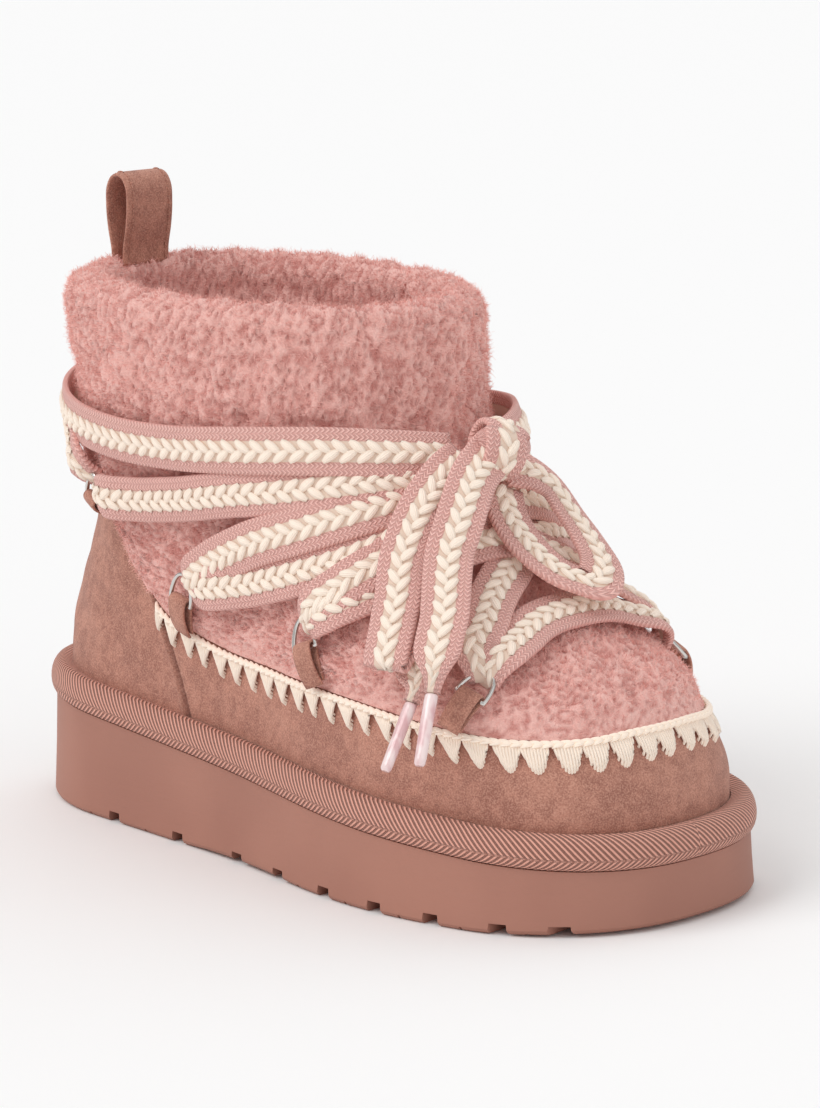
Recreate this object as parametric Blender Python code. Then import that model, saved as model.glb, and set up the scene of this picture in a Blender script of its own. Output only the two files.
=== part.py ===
"""Fur-trimmed ankle boot for the right foot, standing on its platform sole.

Toe along +X, up is +Z, the lateral side faces -Y. The origin is on the floor below
the middle of the boot. All sizes are in metres.
"""
import math

import bmesh
import bpy
import numpy as np

# Sole and welt
SOLE_LENGTH = 0.276
BALL_WIDTH = 0.115
HEEL_STACK = 0.0365
TOE_STACK = 0.0190
TOE_ROUND = 0.045
HEEL_ROUND = 0.047
TOE_POWER = 2.35
HEEL_POWER = 2.10
SIDE_FLARE = 0.0012
EDGE_BREAK = 0.0015
TOE_SPRING = 0.0012
HEEL_BEVEL = 0.0010
ARCH_RISE = 0.0008
WELT_HEIGHT = 0.0105
WELT_PROUD = 0.0020
GROOVE_DEPTH = 0.0036
GROOVE_MOUTH = 0.0036
GROOVE_FLOOR = 0.0026
GROOVE_SWEEP = 0.0050

# Upper, lining and fleece
UPPER_INSET = 0.0072
WALL = 0.0030
COLLAR_HEIGHT = 0.1730
COLLAR_DROP = 0.0040
INSOLE_THICKNESS = 0.0050
FLEECE_THICKNESS = 0.0055
COLLAR_ROLL = 0.0070
CUFF_DEPTH = 0.0400
PILE_LUMP = 0.0009
PILE_PITCH = 0.0150
COUNTER_STEP = 0.0006
COUNTER_SKIVE = 0.012
EDGING_WIDTH = 0.0030
EDGING_HEIGHT = 0.0016

# Pull loop, rings and tabs
LOOP_WIDTH = 0.0200
LOOP_THICKNESS = 0.0016
LOOP_HEIGHT = 0.0253
LOOP_SPREAD = 0.0100
RING_WIDTH = 0.0130
RING_DEPTH = 0.0110
RING_WIRE = 0.0015
TAB_WIDTH = 0.0078
TAB_THICKNESS = 0.0011
TAB_LENGTH = 0.0130

# Lace
LACE_WIDTH = 0.0150
LACE_THICKNESS = 0.0026
AGLET_LENGTH = 0.0220
AGLET_WIDTH = 0.0042
KNOT_SIZE = 0.0150

# Clearance between neighbouring pieces
GAP = 0.0003
LACE_REST = 0.0013
SOFT_GAP = 0.0013

# Counts
AROUND = 46
UPPER_LEVELS = 12
RING_ARC = 9

HALF = SOLE_LENGTH / 2
BALL_HALF = BALL_WIDTH / 2
FOOT_HALF = HALF - UPPER_INSET

# Middle line of the foot beside the middle of the boot's whole width
SIDE_SHIFT = 0.00144

# Half widths of the sole as shares of half the ball width, by station from heel (-1) to toe (1)
#            station lateral medial
SOLE_PLAN = ((-1.00, 0.60, 0.64),
             (-0.62, 0.700, 0.730),
             (-0.15, 0.835, 0.645),
             (0.42, 1.065, 0.930),
             (1.00, 0.850, 0.925))

# Sections of the upper from the feather edge (level 0) to the collar (level 1).
# back, front: ends as shares of half the foot length. rise_back, rise_front: shares of the way
# from the platform to the collar. width: share of the foot's width. heel, toe: rounding lengths
# as shares of half the foot length. shaft: how far the plan has turned from foot into shaft.
#         level   back  front rise_b rise_f width heel  toe   shaft
SECTIONS = ((0.00, -1.000, 1.000, 0.000, 0.000, 1.00, 0.31, 0.30, 0.00),
            (0.09, -1.000, 1.000, 0.080, 0.075, 1.00, 0.31, 0.30, 0.00),
            (0.19, -0.990, 0.990, 0.170, 0.160, 0.99, 0.32, 0.34, 0.02),
            (0.28, -0.965, 0.938, 0.245, 0.238, 0.95, 0.34, 0.42, 0.08),
            (0.37, -0.930, 0.850, 0.330, 0.300, 0.89, 0.36, 0.52, 0.20),
            (0.48, -0.885, 0.705, 0.420, 0.368, 0.82, 0.38, 0.60, 0.40),
            (0.60, -0.855, 0.500, 0.530, 0.470, 0.78, 0.42, 0.60, 0.65),
            (0.73, -0.848, 0.315, 0.665, 0.610, 0.79, 0.48, 0.54, 0.85),
            (0.87, -0.842, 0.200, 0.825, 0.795, 0.85, 0.51, 0.51, 0.97),
            (1.00, -0.840, 0.165, 1.000, 1.000, 0.90, 0.50, 0.50, 1.00))

EDGING_SPAN = 0.655
LACE_LIFT = GAP + FLEECE_THICKNESS + PILE_LUMP + LACE_REST + LACE_THICKNESS / 2
SEAT_LIFT = GAP + FLEECE_THICKNESS + PILE_LUMP + GAP + TAB_THICKNESS
LOOP_FORWARD = 0.0020

# Cross grooves of the tread, as stations of half the sole's length
GROOVES = (-0.593, -0.343, -0.11, 0.06, 0.239, 0.408, 0.567, 0.733, 0.852)

# Lower edge of the fleece, as a level of the upper, by angle from the toe (0) to the heel (1)
#          turn  level
FLEECE_EDGE = ((0.00, 0.282),
               (0.04, 0.281),
               (0.11, 0.269),
               (0.20, 0.262),
               (0.36, 0.280),
               (0.48, 0.278),
               (0.59, 0.295),
               (0.655, 0.350),
               (0.685, 0.430),
               (0.71, 0.560),
               (0.74, 0.600),
               (1.00, 0.600))

# Front seam of the heel counter, from the feather edge up to the fleece
#                 level  turn
COUNTER_SEAM = ((0.00, 0.610),
                (0.083, 0.613),
                (0.237, 0.639),
                (0.343, 0.659),
                (0.62, 0.700))

# Lace eyelets on each side, from toe to heel: D-rings, the way their tabs point on the
# fleece, and how far they sink into its lower edge as a share of its thickness
#          turn   level  tab_turn tab_level sink
RINGS = ((0.209, 0.370, 0.245, 0.300, 0.20),
         (0.398, 0.446, 0.412, 0.330, 0.00),
         (0.577, 0.472, 0.592, 0.380, -0.03),
         (0.704, 0.658, 0.735, 0.560, 0.04))

# Runs of lace over the fleece, as turn, level and lift in shares of the lace's thickness.
# A positive turn is medial. Runs from one side are mirrored for the other.
TOE_BAR = ((-0.178, 0.414, 0.0), (-0.110, 0.487, 0.0), (0.0, 0.520, 0.0), (0.110, 0.487, 0.0),
           (0.178, 0.414, 0.0))
CROSSINGS = (
    ((-0.200, 0.432, 0.0), (-0.145, 0.515, 0.3), (-0.050, 0.595, 0.3), (0.030, 0.640, 0.3),
     (0.150, 0.625, 0.2), (0.280, 0.555, 0.2), (0.362, 0.490, 0.0)),
    ((-0.371, 0.495, 0.6), (-0.300, 0.565, 0.9), (-0.220, 0.620, 0.9), (-0.100, 0.680, 0.8),
     (0.000, 0.700, 0.8), (0.100, 0.690, 0.8), (0.200, 0.655, 0.4), (0.314, 0.610, 0.0),
     (0.422, 0.560, 0.0), (0.536, 0.496, 0.0)),
    ((-0.546, 0.514, 0.3), (-0.497, 0.570, 0.7), (-0.406, 0.640, 0.7), (-0.286, 0.690, 0.8),
     (-0.150, 0.725, 1.2), (0.000, 0.755, 1.5), (0.150, 0.765, 1.2), (0.281, 0.760, 0.6),
     (0.380, 0.745, 0.3), (0.517, 0.700, 0.0), (0.592, 0.675, 0.0), (0.662, 0.660, 0.0)),
)
WRAP = ((-0.724, 0.708, 0.0), (-0.760, 0.735, 0.0), (-0.850, 0.785, 0.0), (-1.000, 0.805, 0.0),
        (-1.150, 0.800, 0.0), (-1.300, 0.795, 0.0), (-1.420, 0.800, 0.0), (-1.550, 0.815, 0.2),
        (-1.656, 0.828, 0.8), (-1.780, 0.828, 1.6), (-1.890, 0.808, 2.3), (-1.960, 0.790, 2.6))
OVER = 0.95

# The bow, on the same terms, and the roll of the lace about its own length in degrees
KNOT = (-0.015, 0.765, 6.1)
LOOP_LATERAL = ((-0.044, 0.765, 6.8), (-0.080, 0.738, 7.2), (-0.117, 0.700, 6.4),
                (-0.169, 0.640, 5.3), (-0.226, 0.555, 4.2), (-0.275, 0.450, 3.8),
                (-0.292, 0.385, 3.5), (-0.296, 0.365, 3.0), (-0.288, 0.390, 2.6),
                (-0.262, 0.470, 2.7), (-0.205, 0.580, 3.2), (-0.135, 0.680, 4.1),
                (-0.066, 0.742, 5.0))
LOOP_MEDIAL = ((0.012, 0.740, 6.8), (0.040, 0.710, 6.6), (0.060, 0.680, 5.7),
               (0.072, 0.630, 4.6), (0.068, 0.575, 4.2), (0.050, 0.535, 3.6),
               (0.022, 0.520, 2.9), (-0.004, 0.545, 2.6), (-0.018, 0.600, 2.7),
               (-0.012, 0.660, 2.8), (0.000, 0.708, 3.4))
END_FRONT = ((-0.014, 0.764, 9.2), (-0.036, 0.742, 8.9), (-0.070, 0.700, 8.4), (-0.112, 0.640, 7.6),
             (-0.165, 0.565, 6.0), (-0.205, 0.490, 5.4), (-0.232, 0.420, 5.0),
             (-0.248, 0.360, 4.4), (-0.256, 0.310, 3.9))
END_BACK = ((-0.040, 0.760, 3.8), (-0.066, 0.742, 3.8), (-0.100, 0.715, 3.2),
            (-0.150, 0.640, 2.2), (-0.200, 0.550, 1.6), (-0.248, 0.445, 1.2),
            (-0.270, 0.380, 1.0), (-0.277, 0.330, 1.2), (-0.282, 0.308, 1.3))

COLOURS = {
    "sole_foam": ((0.42, 0.19, 0.155), 0.55, 0.0),
    "welt_tape": ((0.45, 0.21, 0.17), 0.80, 0.0),
    "suede": ((0.40, 0.18, 0.145), 0.90, 0.0),
    "fleece": ((0.62, 0.30, 0.29), 0.95, 0.0),
    "edging": ((0.82, 0.72, 0.60), 0.85, 0.0),
    "insole": ((0.60, 0.32, 0.30), 0.95, 0.0),
    "nickel": ((0.70, 0.69, 0.68), 0.22, 1.0),
    "lace": ((0.70, 0.45, 0.41), 0.85, 0.0),
    "aglet": ((0.78, 0.52, 0.50), 0.25, 0.0),
}


def material(slot):
    """The Principled material of a slot, made once."""
    if slot in bpy.data.materials:
        return bpy.data.materials[slot]
    colour, roughness, metallic = COLOURS[slot]
    made = bpy.data.materials.new(slot)
    made.use_nodes = True
    shader = made.node_tree.nodes["Principled BSDF"]
    shader.inputs["Base Color"].default_value = (*colour, 1.0)
    shader.inputs["Roughness"].default_value = roughness
    shader.inputs["Metallic"].default_value = metallic
    return made


def smooth(at, rows, column):
    """Cubic curve through one column of a table whose first column is the place."""
    table = np.asarray(rows)
    xs = table[:, 0]
    ys = table[:, column]
    slope = np.gradient(ys, xs)
    at = np.clip(at, xs[0], xs[-1])
    i = np.clip(np.searchsorted(xs, at, side="right") - 1, 0, len(xs) - 2)
    step = xs[i + 1] - xs[i]
    t = (at - xs[i]) / step
    return ((2 * t**3 - 3 * t**2 + 1) * ys[i] + (t**3 - 2 * t**2 + t) * step * slope[i]
            + (3 * t**2 - 2 * t**3) * ys[i + 1] + (t**3 - t**2) * step * slope[i + 1])


def ramp(x, low, high):
    """Smooth step from 0 at low to 1 at high."""
    t = np.clip((x - low) / (high - low), 0.0, 1.0)
    return t * t * (3 - 2 * t)


def rounding(x, back, front, heel, toe):
    """Share of the full width at x, falling to 0 at both ends over the rounding lengths."""
    at_heel = np.clip((back + heel - x) / heel, 0.0, 1.0)
    at_toe = np.clip((x - front + toe) / toe, 0.0, 1.0)
    return ((1 - at_heel**HEEL_POWER) ** (1 / HEEL_POWER)
            * (1 - at_toe**TOE_POWER) ** (1 / TOE_POWER))


def side_width(x, angle, inset=0.0):
    """Half width of the plan at x, lateral where sin(angle) is negative, else medial."""
    station = x / HALF
    share = np.where(np.sin(angle) < 0, smooth(station, SOLE_PLAN, 1),
                     smooth(station, SOLE_PLAN, 2))
    return BALL_HALF * share - inset


def platform(x):
    """Height of the platform's top, a wedge from heel to toe."""
    return HEEL_STACK + (TOE_STACK - HEEL_STACK) * (x / HALF + 1) / 2


def turns(count):
    """Angles of a ring from the toe tip round by the medial side, in pairs across the foot."""
    return np.arange(count) * 2 * math.pi / count


def sole_outline(angle, inset):
    """The sole's outline at its floor edge, moved inwards along its normals."""
    def edge(a):
        x = HALF * np.cos(a)
        y = np.sign(np.sin(a)) * side_width(x, a) * rounding(x, -HALF, HALF, HEEL_ROUND, TOE_ROUND)
        return np.stack([x, y], -1)
    tiny = 0.01
    along = edge(angle + tiny) - edge(angle - tiny)
    along /= np.linalg.norm(along, axis=-1, keepdims=True)
    inward = np.stack([-along[..., 1], along[..., 0]], -1)
    return edge(angle) + inset * inward


def upper(level, angle, lift=0.0):
    """Point of the upper's outer face, raised by lift along its normal."""
    def face(v, a):
        back, front, rise_b, rise_f, width, heel, toe, shaft = (
            smooth(v, SECTIONS, k) for k in range(1, 9))
        share = (1 + np.cos(a)) / 2
        x = FOOT_HALF * (back + (front - back) * share)
        low_back = platform(FOOT_HALF * back)
        low_front = platform(FOOT_HALF * front)
        z_back = low_back + rise_b * (COLLAR_HEIGHT - low_back)
        z_front = low_front + rise_f * (COLLAR_HEIGHT - COLLAR_DROP - low_front)
        z = z_back + (z_front - z_back) * share + GAP
        plan = (1 - shaft) * side_width(x, a, UPPER_INSET) + shaft * BALL_HALF
        y = (np.sign(np.sin(a)) * width * plan
             * rounding(x, FOOT_HALF * back, FOOT_HALF * front, FOOT_HALF * heel,
                        FOOT_HALF * toe))
        return np.stack([x, y, z], -1)
    level, angle, lift = np.broadcast_arrays(np.clip(level, 0.0, 1.0), angle, lift)
    tiny = 0.004
    up = face(level + tiny, angle) - face(level - tiny, angle)
    around = face(level, angle + 3 * tiny) - face(level, angle - 3 * tiny)
    normal = np.cross(around, up)
    normal /= np.linalg.norm(normal, axis=-1, keepdims=True)
    return face(level, angle) + lift[..., None] * normal


def climb(level, angle, distance):
    """The level reached by going a distance up the upper's face."""
    low = np.clip(level - 0.01, 0.0, 1.0)
    high = np.clip(level + 0.01, 0.0, 1.0)
    rate = np.linalg.norm(upper(high, angle) - upper(low, angle), axis=-1) / (high - low)
    return level + distance / rate


def fleece_edge(angle):
    """Level of the fleece's lower edge round the boot."""
    turn = np.abs((angle + math.pi) % (2 * math.pi) - math.pi) / math.pi
    return smooth(turn, FLEECE_EDGE, 1)


def pile(points):
    """Lumps of the curled pile, between about -1 and 1, from crossing waves."""
    x, y, z = (points[..., k] * 2 * math.pi / PILE_PITCH for k in range(3))
    return (np.sin(x + 0.7 * y + 0.4) * np.sin(1.1 * y - 0.5 * z)
            + np.sin(0.8 * z + 0.6 * x + 1.9) * np.sin(0.9 * z - 0.8 * y + 0.3)) / 1.3


def loft(name, slot, rows, wrap=False, ladder=False):
    """A closed solid from rings of points. The last ring meets the first, or both ends are
    closed: by one face each, or by quads between the points that lie across from each other."""
    rows = np.asarray(rows)
    count, around = rows.shape[:2]
    faces = []
    for i in range(count if wrap else count - 1):
        low = i * around
        high = ((i + 1) % count) * around
        for k in range(around):
            after = (k + 1) % around
            faces.append((low + k, low + after, high + after, high + k))
    if not wrap:
        for base, outward in ((0, False), ((count - 1) * around, True)):
            if ladder:
                caps = ladder_faces(base, around)
            else:
                caps = [tuple(base + k for k in range(around))]
            faces += caps if outward else [tuple(reversed(cap)) for cap in caps]
    return mesh_object(name, slot, rows.reshape(-1, 3), faces)


def ladder_faces(base, around):
    """Quads across a ring of an even count, from its first point to the one opposite."""
    half = around // 2
    faces = [(base, base + 1, base + around - 1)]
    for k in range(1, half - 1):
        faces.append((base + k, base + k + 1, base + around - k - 1, base + around - k))
    faces.append((base + half - 1, base + half, base + half + 1))
    return faces


def mesh_object(name, slot, points, faces):
    """One named object, centred over the origin, smooth but for its sharp edges."""
    mesh = bpy.data.meshes.new(name)
    points = points + np.array([0.0, SIDE_SHIFT, 0.0])
    mesh.from_pydata([tuple(p) for p in points], [], faces)
    mesh.materials.append(material(slot))
    mesh.shade_smooth()
    mesh.set_sharp_from_angle(angle=math.radians(40))
    made = bpy.data.objects.new(name, mesh)
    bpy.context.collection.objects.link(made)
    return made


def make_outsole():
    """Wedge platform: flared sides, broken floor edge, toe spring, arch and cross grooves."""
    angle = turns(AROUND)

    def floor(x):
        station = x / HALF
        return (TOE_SPRING * ramp(station, 0.62, 1.0) + HEEL_BEVEL * ramp(-station, 0.82, 1.0)
                + ARCH_RISE * ramp(station, -0.35, -0.15) * (1 - ramp(station, 0.02, 0.22)))

    rows = []
    for inset, share in ((EDGE_BREAK, 0.0), (0.0, None), (SIDE_FLARE, 1.0)):
        ring = sole_outline(angle, inset)
        low = floor(ring[:, 0])
        if share is None:
            z = low + EDGE_BREAK
        else:
            z = low + share * (platform(ring[:, 0]) - low)
        rows.append(np.column_stack([ring, z]))
    return loft("outsole", "sole_foam", rows, ladder=True)


def make_welt():
    """Tape-covered rand round the platform's top, proud of the sole and snug to the upper."""
    angle = turns(AROUND)
    outer = SIDE_FLARE - WELT_PROUD
    #          inset from the floor edge, share of the height
    profile = ((outer + 0.0014, 0.00), (outer, 0.16), (outer, 0.55), (outer + 0.0012, 0.82),
               (outer + 0.0034, 1.00))
    rows = []
    for inset, share in profile:
        ring = sole_outline(angle, inset)
        rows.append(np.column_stack([ring, platform(ring[:, 0]) + GAP + share * WELT_HEIGHT]))
    low = upper(0.0, angle, SOFT_GAP)
    top = low.copy()
    low[:, 2] = platform(low[:, 0]) + GAP
    top[:, 2] = platform(top[:, 0]) + GAP + WELT_HEIGHT
    rows += [top, low]
    return loft("welt", "welt_tape", rows, wrap=True)


def make_insole():
    """Footbed on the platform inside the upper."""
    angle = turns(AROUND)
    rows = []
    for height in (GAP, INSOLE_THICKNESS):
        ring = upper(0.0, angle, -WALL - GAP)
        ring[:, 2] = platform(ring[:, 0]) + height
        rows.append(ring)
    return loft("insole", "insole", rows, ladder=True)


def counter_step(level, angle):
    """How far the heel counter stands out of the upper, behind its seam and below the fleece."""
    turn = np.abs((angle + math.pi) % (2 * math.pi) - math.pi) / math.pi
    seam = smooth(level, COUNTER_SEAM, 1)
    behind = ramp(turn, seam - COUNTER_SKIVE, seam + COUNTER_SKIVE)
    return COUNTER_STEP * behind * (1 - ramp(level, 0.62, 0.72))


def make_upper():
    """Hollow suede upper, open at the collar and underneath, with a step at the counter."""
    angle = turns(AROUND)
    levels = np.linspace(0, 1, UPPER_LEVELS)
    outside = upper(levels[:, None], angle[None], counter_step(levels[:, None], angle[None]))
    inside = upper(levels[:, None], angle[None], -WALL)
    for end in (0, -1):
        inside[end, :, 2] = outside[end, :, 2]
    inside[0, :, 2] = platform(inside[0, :, 0]) + GAP
    rows = np.concatenate([outside, inside[::-1]])
    return loft("upper", "suede", rows, wrap=True)


def make_fleece():
    """Curled pile over the vamp and shaft, rolled over the collar and down inside."""
    angle = turns(AROUND)
    edge = climb(fleece_edge(angle), angle, EDGING_WIDTH / 2 + GAP)
    rows = []
    # Outside, from the lower edge to the collar
    for share in np.linspace(0, 1, 12):
        level = edge + (1 - edge) * share
        thick = FLEECE_THICKNESS * (0.35 + 0.65 * ramp(share, 0, 0.09))
        thick = thick + (COLLAR_ROLL - FLEECE_THICKNESS) * ramp(share, 0.6, 1)
        row = upper(level, angle, GAP + thick)
        rows.append(upper(level, angle, GAP + thick + PILE_LUMP * pile(row)))
    # Over the collar
    crest = upper(1.0, angle, -WALL / 2)
    reach = WALL / 2 + GAP + COLLAR_ROLL
    outward = upper(1.0, angle, 0.01) - upper(1.0, angle)
    outward[:, 2] = 0
    outward /= np.linalg.norm(outward, axis=1, keepdims=True)
    up = np.array([0.0, 0.0, 1.0])
    for turn in np.linspace(0, math.pi, 7)[1:-1]:
        row = crest + reach * (math.cos(turn) * outward + math.sin(turn) * up)
        rows.append(row + PILE_LUMP * pile(row)[:, None] * up)
    # Down inside to the end of the cuff
    deep = climb(np.ones_like(angle), angle, -CUFF_DEPTH)
    for share in np.linspace(0, 1, 5):
        level = 1 + (deep - 1) * share
        thick = COLLAR_ROLL * (1 - 0.5 * share)
        row = upper(level, angle, -WALL - GAP - thick)
        rows.append(upper(level, angle, -WALL - GAP - thick + PILE_LUMP * pile(row)))
    # Back along the wall, over its top and down its outer face
    for share in (1.0, 0.66, 0.33):
        rows.append(upper(1 + (deep - 1) * share, angle, -WALL - SOFT_GAP))
    for side in (-WALL - SOFT_GAP, SOFT_GAP):
        row = upper(1.0, angle, side)
        row[:, 2] = upper(1.0, angle)[:, 2] + SOFT_GAP
        rows.append(row)
    for share in (0.84, 0.67, 0.5, 0.33, 0.16, 0.0):
        rows.append(upper(edge + (1 - edge) * share, angle, SOFT_GAP))
    return loft("fleece", "fleece", rows, wrap=True)


def make_edging():
    """Raised cream edge between suede and fleece, from counter seam to counter seam."""
    span = EDGING_SPAN * math.pi
    angle = np.linspace(-span, span, AROUND + 1)
    middle = fleece_edge(angle)
    low = climb(middle, angle, -EDGING_WIDTH / 2)
    high = climb(middle, angle, EDGING_WIDTH / 2 - GAP)
    base = [upper(low, angle, SOFT_GAP), upper(high, angle, SOFT_GAP)]
    top = [upper(high, angle, SOFT_GAP + 0.7 * EDGING_HEIGHT),
           upper(middle, angle, SOFT_GAP + EDGING_HEIGHT),
           upper(low, angle, SOFT_GAP + 0.5 * EDGING_HEIGHT)]
    rows = np.stack(base + top, 1)
    return loft("edging", "edging", rows)


def route(keys, count, base):
    """Points and normals of a run over the fleece. The keys' turn, level and lift pass through a
    smooth curve, and base is the lift of the lace's middle where it lies on the fleece."""
    keys = np.asarray(keys, dtype=float)
    rough = upper(keys[:, 1], keys[:, 0] * math.pi, base + keys[:, 2] * LACE_THICKNESS)
    steps = np.linalg.norm(np.diff(rough, axis=0), axis=1)
    place = np.concatenate([[0], np.cumsum(steps)])
    table = np.column_stack([place, keys])
    at = np.linspace(0, place[-1], count)
    turn, level, lift = (smooth(at, table, k) for k in (1, 2, 3))
    points = upper(level, turn * math.pi, base + lift * LACE_THICKNESS)
    normals = upper(level, turn * math.pi, base + 0.01) - upper(level, turn * math.pi, base)
    return points, normals / np.linalg.norm(normals, axis=1, keepdims=True)


def ribbon(name, slot, points, normals, width, thickness, taper=None):
    """A flat strap with softened edges swept along points, its face turned to the normals."""
    along = np.gradient(points, axis=0)
    along /= np.linalg.norm(along, axis=1, keepdims=True)
    across = np.cross(normals, along)
    across /= np.linalg.norm(across, axis=1, keepdims=True)
    face = np.cross(along, across)
    wide = np.full(len(points), width / 2) if taper is None else taper * width / 2
    wide = wide[:, None]
    thick = thickness / 2
    shoulder = np.maximum(wide - thick, 0.3 * wide)
    ring = [(wide, 0.0), (shoulder, thick), (-shoulder, thick), (-wide, 0.0),
            (-shoulder, -thick), (shoulder, -thick)]
    rows = np.stack([points + a * across + h * face for a, h in ring], 1)
    return loft(name, slot, rows)


def end_taper(count, ends=(True, True), share=0.12, least=0.45):
    """Width of a run that narrows where it goes through a ring."""
    at = np.linspace(0, 1, count)
    width = np.ones(count)
    if ends[0]:
        width *= least + (1 - least) * ramp(at, 0, share)
    if ends[1]:
        width *= least + (1 - least) * ramp(1 - at, 0, share)
    return width


def mirrored(keys):
    """A run for the other side of the foot."""
    return tuple((-turn, level, lift) for turn, level, lift in keys)


def lifted(keys, turn, reach):
    """A run raised over another one near a turn."""
    return tuple((t, level, lift + OVER * max(0.0, 1 - abs(t - turn) / reach))
                 for t, level, lift in keys)


def make_lacing():
    """Toe bar, three crossings and two ankle wraps, joined where they lie on each other."""
    runs = [("bar", TOE_BAR, 8, (True, True))]
    for number, keys in enumerate(CROSSINGS):
        count = 10 + 2 * number
        runs.append((f"under_{number}", keys, count, (True, True)))
        runs.append((f"over_{number}", lifted(mirrored(keys), 0.0, 0.2), count, (True, True)))
    runs.append(("wrap_under", WRAP, 23, (True, False)))
    runs.append(("wrap_over", lifted(mirrored(WRAP), 1.0, 0.18), 23, (True, False)))
    pieces = []
    for name, keys, count, ends in runs:
        points, normals = route(keys, count, LACE_LIFT)
        pieces.append(ribbon(name, "lace", points, normals, LACE_WIDTH, LACE_THICKNESS,
                             end_taper(count, ends)))
    whole = pieces[0]
    whole.name = "lacing"
    for piece in pieces[1:]:
        join = whole.modifiers.new(piece.name, "BOOLEAN")
        join.operation = "UNION"
        join.solver = "EXACT"
        join.object = piece
        piece.hide_render = True
        piece.display_type = "WIRE"
    return fill_pockets(whole)


def fill_pockets(whole):
    """Applies an object's unions and fills the sealed pockets between its runs, whose walls are
    the islands of faces apart from the largest."""
    evaluated = whole.evaluated_get(bpy.context.evaluated_depsgraph_get())
    solid = bpy.data.meshes.new_from_object(evaluated)
    whole.modifiers.clear()
    shape = bmesh.new()
    shape.from_mesh(solid)
    left = set(shape.verts)
    islands = []
    while left:
        island = {left.pop()}
        edge = list(island)
        while edge:
            near = {e.other_vert(v) for v in edge for e in v.link_edges} & left
            left -= near
            island |= near
            edge = list(near)
        islands.append(island)
    islands.sort(key=len)
    for island in islands[:-1]:
        bmesh.ops.delete(shape, geom=list(island), context="VERTS")
    shape.to_mesh(solid)
    shape.free()
    whole.data = solid
    return whole


def make_bow():
    """Knot, two loops and two hanging ends with their aglets."""
    centre, normal = route((KNOT, (KNOT[0], KNOT[1] - 0.02, KNOT[2])), 2, LACE_LIFT)
    centre, normal = centre[0], normal[0]
    side = np.array([0.0, 1.0, 0.0])
    down = np.cross(side, normal)
    rows = []
    for height in np.linspace(-1, 1, 7):
        angle = turns(12)
        reach = math.sqrt(max(1 - height * height, 0.04))
        rows.append(centre + normal * height * KNOT_SIZE * 0.36
                    + KNOT_SIZE * 0.5 * reach * (np.cos(angle)[:, None] * side
                                                 + 1.1 * np.sin(angle)[:, None] * -down))
    loft("bow_knot", "lace", rows)
    for name, keys, count in (("bow_loop_lateral", LOOP_LATERAL, 20),
                              ("bow_loop_medial", LOOP_MEDIAL, 18),
                              ("lace_end_front", END_FRONT, 14),
                              ("lace_end_back", END_BACK, 12)):
        points, normals = route(keys, count, LACE_LIFT)
        ends = (False, name.startswith("lace_end"))
        ribbon(name, "lace", points, normals, LACE_WIDTH, LACE_THICKNESS,
               end_taper(count, ends, 0.2, 0.3))
        if name.startswith("lace_end"):
            tip = points[-1]
            way = points[-1] - points[-2]
            way /= np.linalg.norm(way)
            make_aglet(name.replace("lace_end", "aglet"), tip + way * GAP, way, normals[-1])


def make_aglet(name, start, way, normal):
    """Tip sheath on the end of the lace."""
    across = np.cross(way, normal)
    face = np.cross(across, way)
    rows = []
    for share, size in ((0.0, 0.85), (0.08, 1.0), (0.85, 0.9), (1.0, 0.6)):
        angle = turns(8)
        rows.append(start + share * AGLET_LENGTH * way
                    + size * AGLET_WIDTH / 2 * (np.cos(angle)[:, None] * across
                                                + 0.75 * np.sin(angle)[:, None] * face))
    return loft(name, "aglet", [row[::-1] for row in rows])


def seat(turn, level, tab_turn, tab_level, sink):
    """Frame of a ring: its seat on the fleece, the way to its tab's root, and the normal."""
    lift = SEAT_LIFT - sink * FLEECE_THICKNESS
    middle = upper(level, turn * math.pi, lift)
    root = upper(tab_level, tab_turn * math.pi, lift)
    normal = upper(level, turn * math.pi, lift + 0.01) - middle
    normal /= np.linalg.norm(normal)
    way = root - middle
    way -= normal * way.dot(normal)
    way /= np.linalg.norm(way)
    return middle + way * RING_DEPTH / 2, way, normal


def make_ring(name, here, way, normal):
    """D-ring of round wire: a straight bar in the tab and a bow that the lace goes through."""
    across = np.cross(normal, way)
    bar = RING_WIDTH / 2 - RING_WIRE
    angle = np.linspace(0, math.pi, RING_ARC)
    outline = [(-bar * math.cos(a), -(RING_DEPTH - RING_WIRE) * math.sin(a)) for a in angle]
    middle = np.array([here + u * across + w * way + RING_WIRE / 2 * normal
                       for u, w in outline])
    bar_points = [middle[-1] + (middle[0] - middle[-1]) * k for k in (0.33, 0.67)]
    middle = np.concatenate([middle, bar_points])
    along = np.roll(middle, -1, 0) - np.roll(middle, 1, 0)
    along /= np.linalg.norm(along, axis=1, keepdims=True)
    out = np.cross(along, normal)
    rows = np.stack([middle + RING_WIRE / 2 * (math.cos(a) * out + math.sin(a) * normal)
                     for a in turns(6)], 1)
    return loft(name, "nickel", rows[:, ::-1], wrap=True)


def make_tab(name, here, way, normal):
    """Suede tab folded round the ring's bar, its two leaves lying down the fleece."""
    inner = RING_WIRE / 2 + GAP + TAB_THICKNESS / 2
    centre = here + RING_WIRE / 2 * normal
    lower = []
    for share in (1.0, 0.3):
        lower.append(centre + way * share * TAB_LENGTH - normal * (inner - 0.0001))
    fold = [centre + inner * (-math.sin(a) * way - math.cos(a) * normal)
            for a in np.linspace(0, math.pi, 6)]
    above = []
    for share in (0.3, 1.0):
        above.append(centre + way * share * TAB_LENGTH
                     + normal * (inner - 0.0013 * share))
    points = np.array(lower + fold + above)
    across = np.cross(normal, way)
    along = np.gradient(points, axis=0)
    normals = np.cross(along, across)
    return ribbon(name, "suede", points, normals, TAB_WIDTH, TAB_THICKNESS)


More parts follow.
